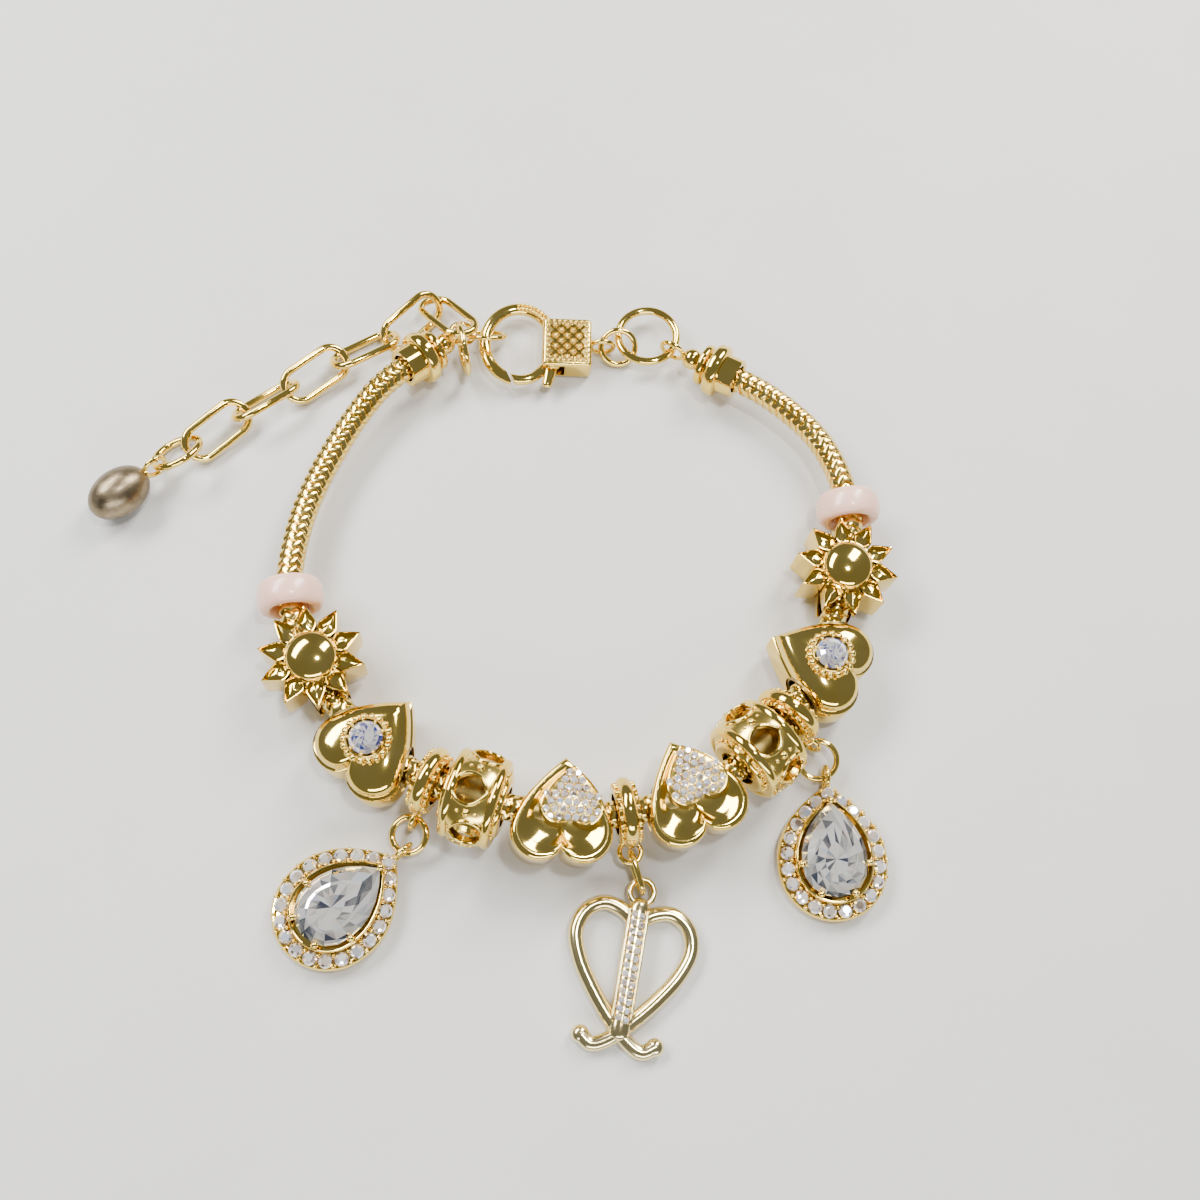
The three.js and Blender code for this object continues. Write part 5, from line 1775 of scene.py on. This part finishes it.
@dataclass
class Clasp:
    """A block with a hook, and its hinged gate."""

    block: Triple = (6.0, 6.4, 3.4)
    claw_centre: Spot = (-5.8, 0.2)
    claw_half: Spot = (4.25, 4.85)
    band: Spot = (1.5, 1.3)
    claw_turns: Spot = (27.0, 259.0)
    gate_tip: float = 254.0
    gate_reach: float = 5.5
    gate_gap: float = 0.35
    gate_root: float = 294.0
    gate_width: float = 1.25
    hub: Spot = (-1.75, -1.95)
    hub_size: Spot = (1.25, 1.6)
    pin: float = 0.5
    tail_eye: Spot = (1.4, 0.32)
    border: Spot = (2.45, 2.65)
    lattice: Spot = (2.15, 2.35)
    lattice_pitch: float = 1.45
    thumb_heading: float = -101.0

    def claw_point(self, angle: float) -> Triple:
        """A point of the hook's line at an angle in degrees."""
        return (self.claw_centre[0] + self.claw_half[0] * math.cos(math.radians(angle)),
                self.claw_centre[1] + self.claw_half[1] * math.sin(math.radians(angle)), 0.0)

    def sweep(self, radius: float) -> Solid:
        """What a radius about the hinge sweeps on the gate's side.

        Args:
            radius: the radius.

        Returns:
            The sector.
        """
        disc = Work.loft(ring_points(radius, 96), [(-3.0, 1.0), (3.0, 1.0)])
        for way in ((1.0, 0.0, 0.0), (0.0, 1.0, 0.0)):
            Work.edit_all(disc)
            bpy.ops.mesh.bisect(plane_co=(0.0, 0.0, 0.0), plane_no=way, clear_outer=True,
                                use_fill=True)
        Work.clear()
        return Work.moved(disc, shift(*self.hub))

    def build_body(self, place: Matrix, palette: Palette) -> None:
        """Makes the block, the hook, the pin and the tail eye.

        Args:
            place: the clasp's frame.
            palette: the finishes.
        """
        length, _, height = self.block
        x, y = self.hub
        body = Work.block(self.block, (0, 0, 0), 0.42)
        slot = self.hub_size[0] + 0.3
        gap = self.hub_size[1] + 0.6
        opening = Work.block((2 * slot, 2 * slot, gap), (x - 0.05, y - 0.05, 0))
        mouth = Work.block((4, 4, gap), (x - 2, y - 2, 0))
        Work.cut(body, opening)
        Work.cut(body, mouth)
        Work.ship(body, "clasp_block", place, palette.soft, smooth=35, stands_for=("clasp_body",))
        first, last = self.claw_turns
        line = [self.claw_point(first + (last - first) * i / 40) for i in range(41)]
        hook = Work.tube(line, self.band[0] / 2, flat=self.band[1] / self.band[0], sides=6,
                         rounded=False)
        Work.cut(hook, self.sweep(self.gate_reach + self.gate_gap))
        eye = Work.moved(Work.ring(*self.tail_eye, around=36),
                         shift(length / 2 + self.tail_eye[0] - 0.05, 0.3, 0) @ turn(90, "X"))
        reach = height / 2 - 0.2
        bar = Work.spun([(-reach, 0.0), (-reach, self.pin), (reach, self.pin), (reach, 0.0)], 24)
        pin = Work.moved(bar, shift(x, y) @ turn(-90, "Y"))
        Work.ship(Work.joined([hook, eye, pin]), "clasp_hook", place, palette.mirror, smooth=50)
        self._ornament(place, palette)

    def _ornament(self, place: Matrix, palette: Palette) -> None:
        """Lays a dark panel of painted shade, a border, a lattice and granules on the block and
        granules on the hook's root.

        Args:
            place: the clasp's frame.
            palette: the finishes.
        """
        top = self.block[2] / 2
        x, y = self.border
        grains = [shift(*spot, top - 0.02)
                  for spot in spaced([(-x, -y), (x, -y), (x, y), (-x, y)], 30)]
        bars = []
        across, along = self.lattice
        for way in (-1, 1):
            for step in range(-2, 3):
                offset = step * self.lattice_pitch
                line = [(x, way * (x - offset), top + 0.02) for x in spread(-across, across, 49)
                        if abs(x - offset) <= along]
                bars.append(Work.tube(line, 0.2, sides=3))
        Work.ship(Work.joined(bars), "clasp_lattice", place, palette.mirror, smooth=60)
        cell = self.lattice_pitch / 2
        grains += [shift(column * cell, row * cell, top + 0.02)
                   for column in range(-2, 3) for row in range(-3, 4) if (column + row) % 2]
        # A dark panel of painted shade lies under the lattice and granules.
        panel = Work.block((5.1, 5.5, 0.08), (0, 0, top), 0.02)
        Work.ship(panel, "clasp_shade_panel", place, palette.painted_shade, smooth=35)
        for i in range(10):
            angle = 34 + i * 6.4
            x, y, _ = self.claw_point(angle)
            across, along = math.cos(math.radians(angle)), math.sin(math.radians(angle))
            for way in (-0.28, 0.28):
                grains.append(shift(x + way * across, y + way * along, self.band[1] / 2 - 0.04))
        Work.ship(Work.granules(0.28, grains), "clasp_granules", place, palette.mirror, smooth=60)

    def build_lever(self, place: Matrix, palette: Palette) -> None:
        """Makes the gate with its hub and thumb lever.

        Args:
            place: the clasp's frame.
            palette: the finishes.
        """
        middle = (self.gate_tip + self.gate_root) / 2
        path = smooth_path([
            *(self.claw_point(angle) for angle in (self.gate_tip, middle, self.gate_root)),
            (self.hub[0] - 0.9, self.hub[1] - 0.9, 0.0)])
        gate = Work.tube(path, self.gate_width / 2, sides=6, rounded=False)
        Work.cut(gate, self.sweep(self.gate_reach), keep_inside=True)
        radius, height = self.hub_size
        bore = self.pin + 0.3
        rim = height / 2
        section = [(-rim, bore), (-rim, radius - 0.12), (0.12 - rim, radius), (rim - 0.12, radius),
                   (rim, radius - 0.12), (rim, bore)]
        disc = Work.moved(Work.spun(section, 40), shift(*self.hub) @ turn(-90, "Y"))
        way = flat_way(self.thumb_heading)
        root, end = (Vector((*self.hub, 0.0)) + way * reach for reach in (1.05, 3.15))
        thumb = Work.tube([tuple(root.lerp(end, i / 6)) for i in range(7)], 0.92, flat=0.66,
                          sides=6, ends=(0.95, 0.66))
        Work.ship(Work.joined([gate, disc, thumb]), "clasp_gate", place, palette.mirror,
                  body=LEVER_BODY, smooth=50, stands_for=("clasp_lever",))


@dataclass
class LooseRings:
    """Every plain ring and link, each in the place of its solid."""

    rings: dict[str, Triple] = field(default_factory=lambda: {
        "clasp_tail_ring": (2.1, 0.38, 0.0), "right_jump_ring": (3.6, 0.5, 0.0),
        "connector_ring": (2.95, 0.35, 0.0), "claw_ring": (2.4, 0.29, 0.0),
        "left_pendant_ring": (1.95, 0.36, 0.0), "right_pendant_ring": (2.15, 0.36, 0.0),
        "extender_end_ring": (2.9, 0.45, 0.0), "centre_pendant_link": (1.15, 0.33, 2.3)})
    link: Triple = (1.95, 0.46, 4.5)
    link_count: int = 6

    def build(self, palette: Palette) -> None:
        """Bends all of them.

        Args:
            palette: the finishes.
        """
        sizes = dict(self.rings)
        sizes.update({f"extender_link_{i + 1}": self.link for i in range(self.link_count)})
        for node, (radius, wire, straight) in sizes.items():
            Work.ship(Work.ring(radius, wire, straight), f"{node}_wire", ring_frame(node),
                      palette.mirror, stands_for=(node,), smooth=60)


@dataclass
class EndBead:
    """The brushed olive bead at the extender's end."""

    radius: float = 2.7
    length: float = 7.6
    eye: Spot = (1.3, 0.3)
    heading: float = 222.0
    reach: float = 2.9 * math.cos(math.pi / 14) - 0.45 + 1.3 * math.cos(math.pi / 10) - 0.3 - 0.3

    def build(self, palette: Palette) -> None:
        """Hangs the bead on the extender's end ring.

        Args:
            palette: the finishes.
        """
        ring = ring_frame("extender_end_ring").translation
        spot = Vector((ring.x, ring.y, 0)) + flat_way(self.heading) * self.reach
        spot.z = self.radius + 0.05
        half = self.length / 2
        stations = [-math.cos(math.pi * i / 22) for i in range(23)]
        profile = [(s * half, self.radius * math.sqrt(max(0.0, 1 - s * s))) for s in stations]
        profile[0], profile[-1] = (-half, 0.0), (half, 0.0)
        bead = Work.moved(Work.spun(profile, 48), shift(half + self.eye[0] - 0.1))
        place = set_at(spot, self.heading)
        Work.ship(bead, "end_bead_olive", place, palette.brushed, Slot.BRUSHED,
                  stands_for=("end_bead",), smooth=60)
        eye = Work.moved(Work.ring(*self.eye, around=32), turn(100, "X"))
        section = [(0.0, 0.0), (0.0, 0.62), (0.3, 0.8), (0.55, 0.6), (0.55, 0.0)]
        collar = Work.moved(Work.spun(section, 24), shift(self.eye[0] - 0.25))
        Work.ship(Work.joined([eye, collar]), "end_bead_eye", place, palette.mirror,
                  Slot.BRUSHED, smooth=50)


# The room


@dataclass(frozen=True)
class Lamp:
    """One soft studio light."""

    name: str
    at: Triple
    size: Spot
    power: float
    colour: Triple = (1.0, 1.0, 1.0)


@dataclass
class Studio:
    """The floor, the lights and the camera."""

    eye: Vector = field(default_factory=lambda: Vector((0.327, -44.120, 156.281)))
    right: Vector = field(default_factory=lambda: Vector((0.99695434, 0.0, 0.07798748)))
    up: Vector = field(default_factory=lambda: Vector((-0.02393323, 0.9517464, 0.3059509)))
    lens: float = 42.0
    sensor: float = 36.0
    floor_size: float = 3.0
    floor_drop: float = 0.00002
    sky: tuple[float, float, float, float] = (0.62, 0.65, 0.70, 1.0)
    sky_strength: float = 0.30
    lamps: tuple[Lamp, ...] = (
        Lamp("window", (-0.32, 0.24, 0.40), (0.46, 0.16), 6.0),
        Lamp("key", (0.26, 0.34, 0.38), (0.14, 0.34), 4.6, (1.0, 0.97, 0.92)),
        Lamp("front", (0.05, -0.50, 0.26), (0.50, 0.10), 2.4, (0.95, 0.97, 1.0)),
        Lamp("spark", (0.10, 0.02, 0.60), (0.05, 0.05), 1.6),
    )

    def build(self) -> None:
        """Sets the room up."""
        Work.clear()
        bpy.ops.mesh.primitive_plane_add(size=1.0)
        floor = bpy.context.object
        floor.name = "tabletop"
        floor.data.transform(Matrix.Diagonal((self.floor_size, self.floor_size, 1.0, 1.0)))
        floor.data.transform(Matrix.Translation((0, 0, -self.floor_drop)))
        floor.data.materials.append(FloorFinish().build())
        for lamp in self.lamps:
            light = bpy.data.lights.new(lamp.name, "AREA")
            light.shape = "RECTANGLE"
            light.size, light.size_y = lamp.size
            light.energy = lamp.power
            light.color = lamp.colour
            holder = bpy.data.objects.new(lamp.name, light)
            holder.location = lamp.at
            holder.rotation_euler = Vector(lamp.at).to_track_quat("Z", "Y").to_euler()
            bpy.context.collection.objects.link(holder)
        world = bpy.data.worlds.new("room")
        world.use_nodes = True
        sky = world.node_tree.nodes["Background"]
        sky.inputs["Color"].default_value = self.sky
        sky.inputs["Strength"].default_value = self.sky_strength
        bpy.context.scene.world = world
        camera = bpy.data.cameras.new("camera")
        camera.lens = self.lens
        camera.sensor_width = self.sensor
        camera.clip_start = 0.005
        holder = bpy.data.objects.new("camera", camera)
        back = self.right.cross(self.up)
        pose = Matrix((self.right, self.up, back)).transposed().to_4x4()
        holder.matrix_world = Matrix.Translation(self.eye * MM) @ pose
        bpy.context.collection.objects.link(holder)
        bpy.context.scene.camera = holder


def main() -> None:
    """Builds the whole bracelet and its room."""
    logging.basicConfig(level=logging.INFO, format="%(name)s: %(message)s")
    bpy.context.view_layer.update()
    palette = Palette()
    Studio().build()
    strung = Stringing()
    SnakeChain().build(strung, palette)
    route, cap = strung.route, EndCap()
    end, inner = route.length, route.length - cap.socket_depth
    cap.build("left_end_cap", route.at(0), route.at(cap.socket_depth), 0.0, palette)
    cap.build("right_end_cap", route.at(end), route.at(inner), 90.0, palette)
    DangleSpacer().build("centre", strung.places["centre", "spacer"], True, palette)
    for side in Side:
        places = {kind: place for (where, kind), place in strung.places.items()
                  if where == side.value}
        PaveHeart().build(side, places["pave_heart"], palette)
        OpenworkBead().build(side, places["openwork"], palette)
        DangleSpacer().build(side.value, places["spacer"], False, palette)
        StoneHeart().build(side, places["stone_heart"], palette)
        Sunflower().build(side, places["sunflower"], palette)
        Stopper().build(side, places["stopper"], palette)
    backs = {side: next(mount["pos_m"] for mount in frame["record"]["mounts"]
                        if mount["name"] == f"{side.value}_teardrop_back") for side in Side}
    for side, heading in ((Side.LEFT, 41.0), (Side.RIGHT, 92.0)):
        Teardrop().build(side, set_at(Vector(backs[side]) / MM, heading), palette)
    link, link_radius = ring_frame("centre_pendant_link"), 1.15
    along = Vector([link[row][0] for row in range(3)])
    along *= -1 if along.y > 0 else 1
    eye = link.translation + along * (link_radius * math.cos(math.pi / 10) + link_radius)
    ScrollPendant().build(set_at(Vector((eye.x, eye.y, 0.0))), palette)
    clasp, clasp_place = Clasp(), set_at(Vector((8.29, 38.44, 1.75)))
    clasp.build_body(clasp_place, palette)
    clasp.build_lever(clasp_place, palette)
    LooseRings().build(palette)
    EndBead().build(palette)
    Work.clear()


if __name__ == "__main__":
    main()
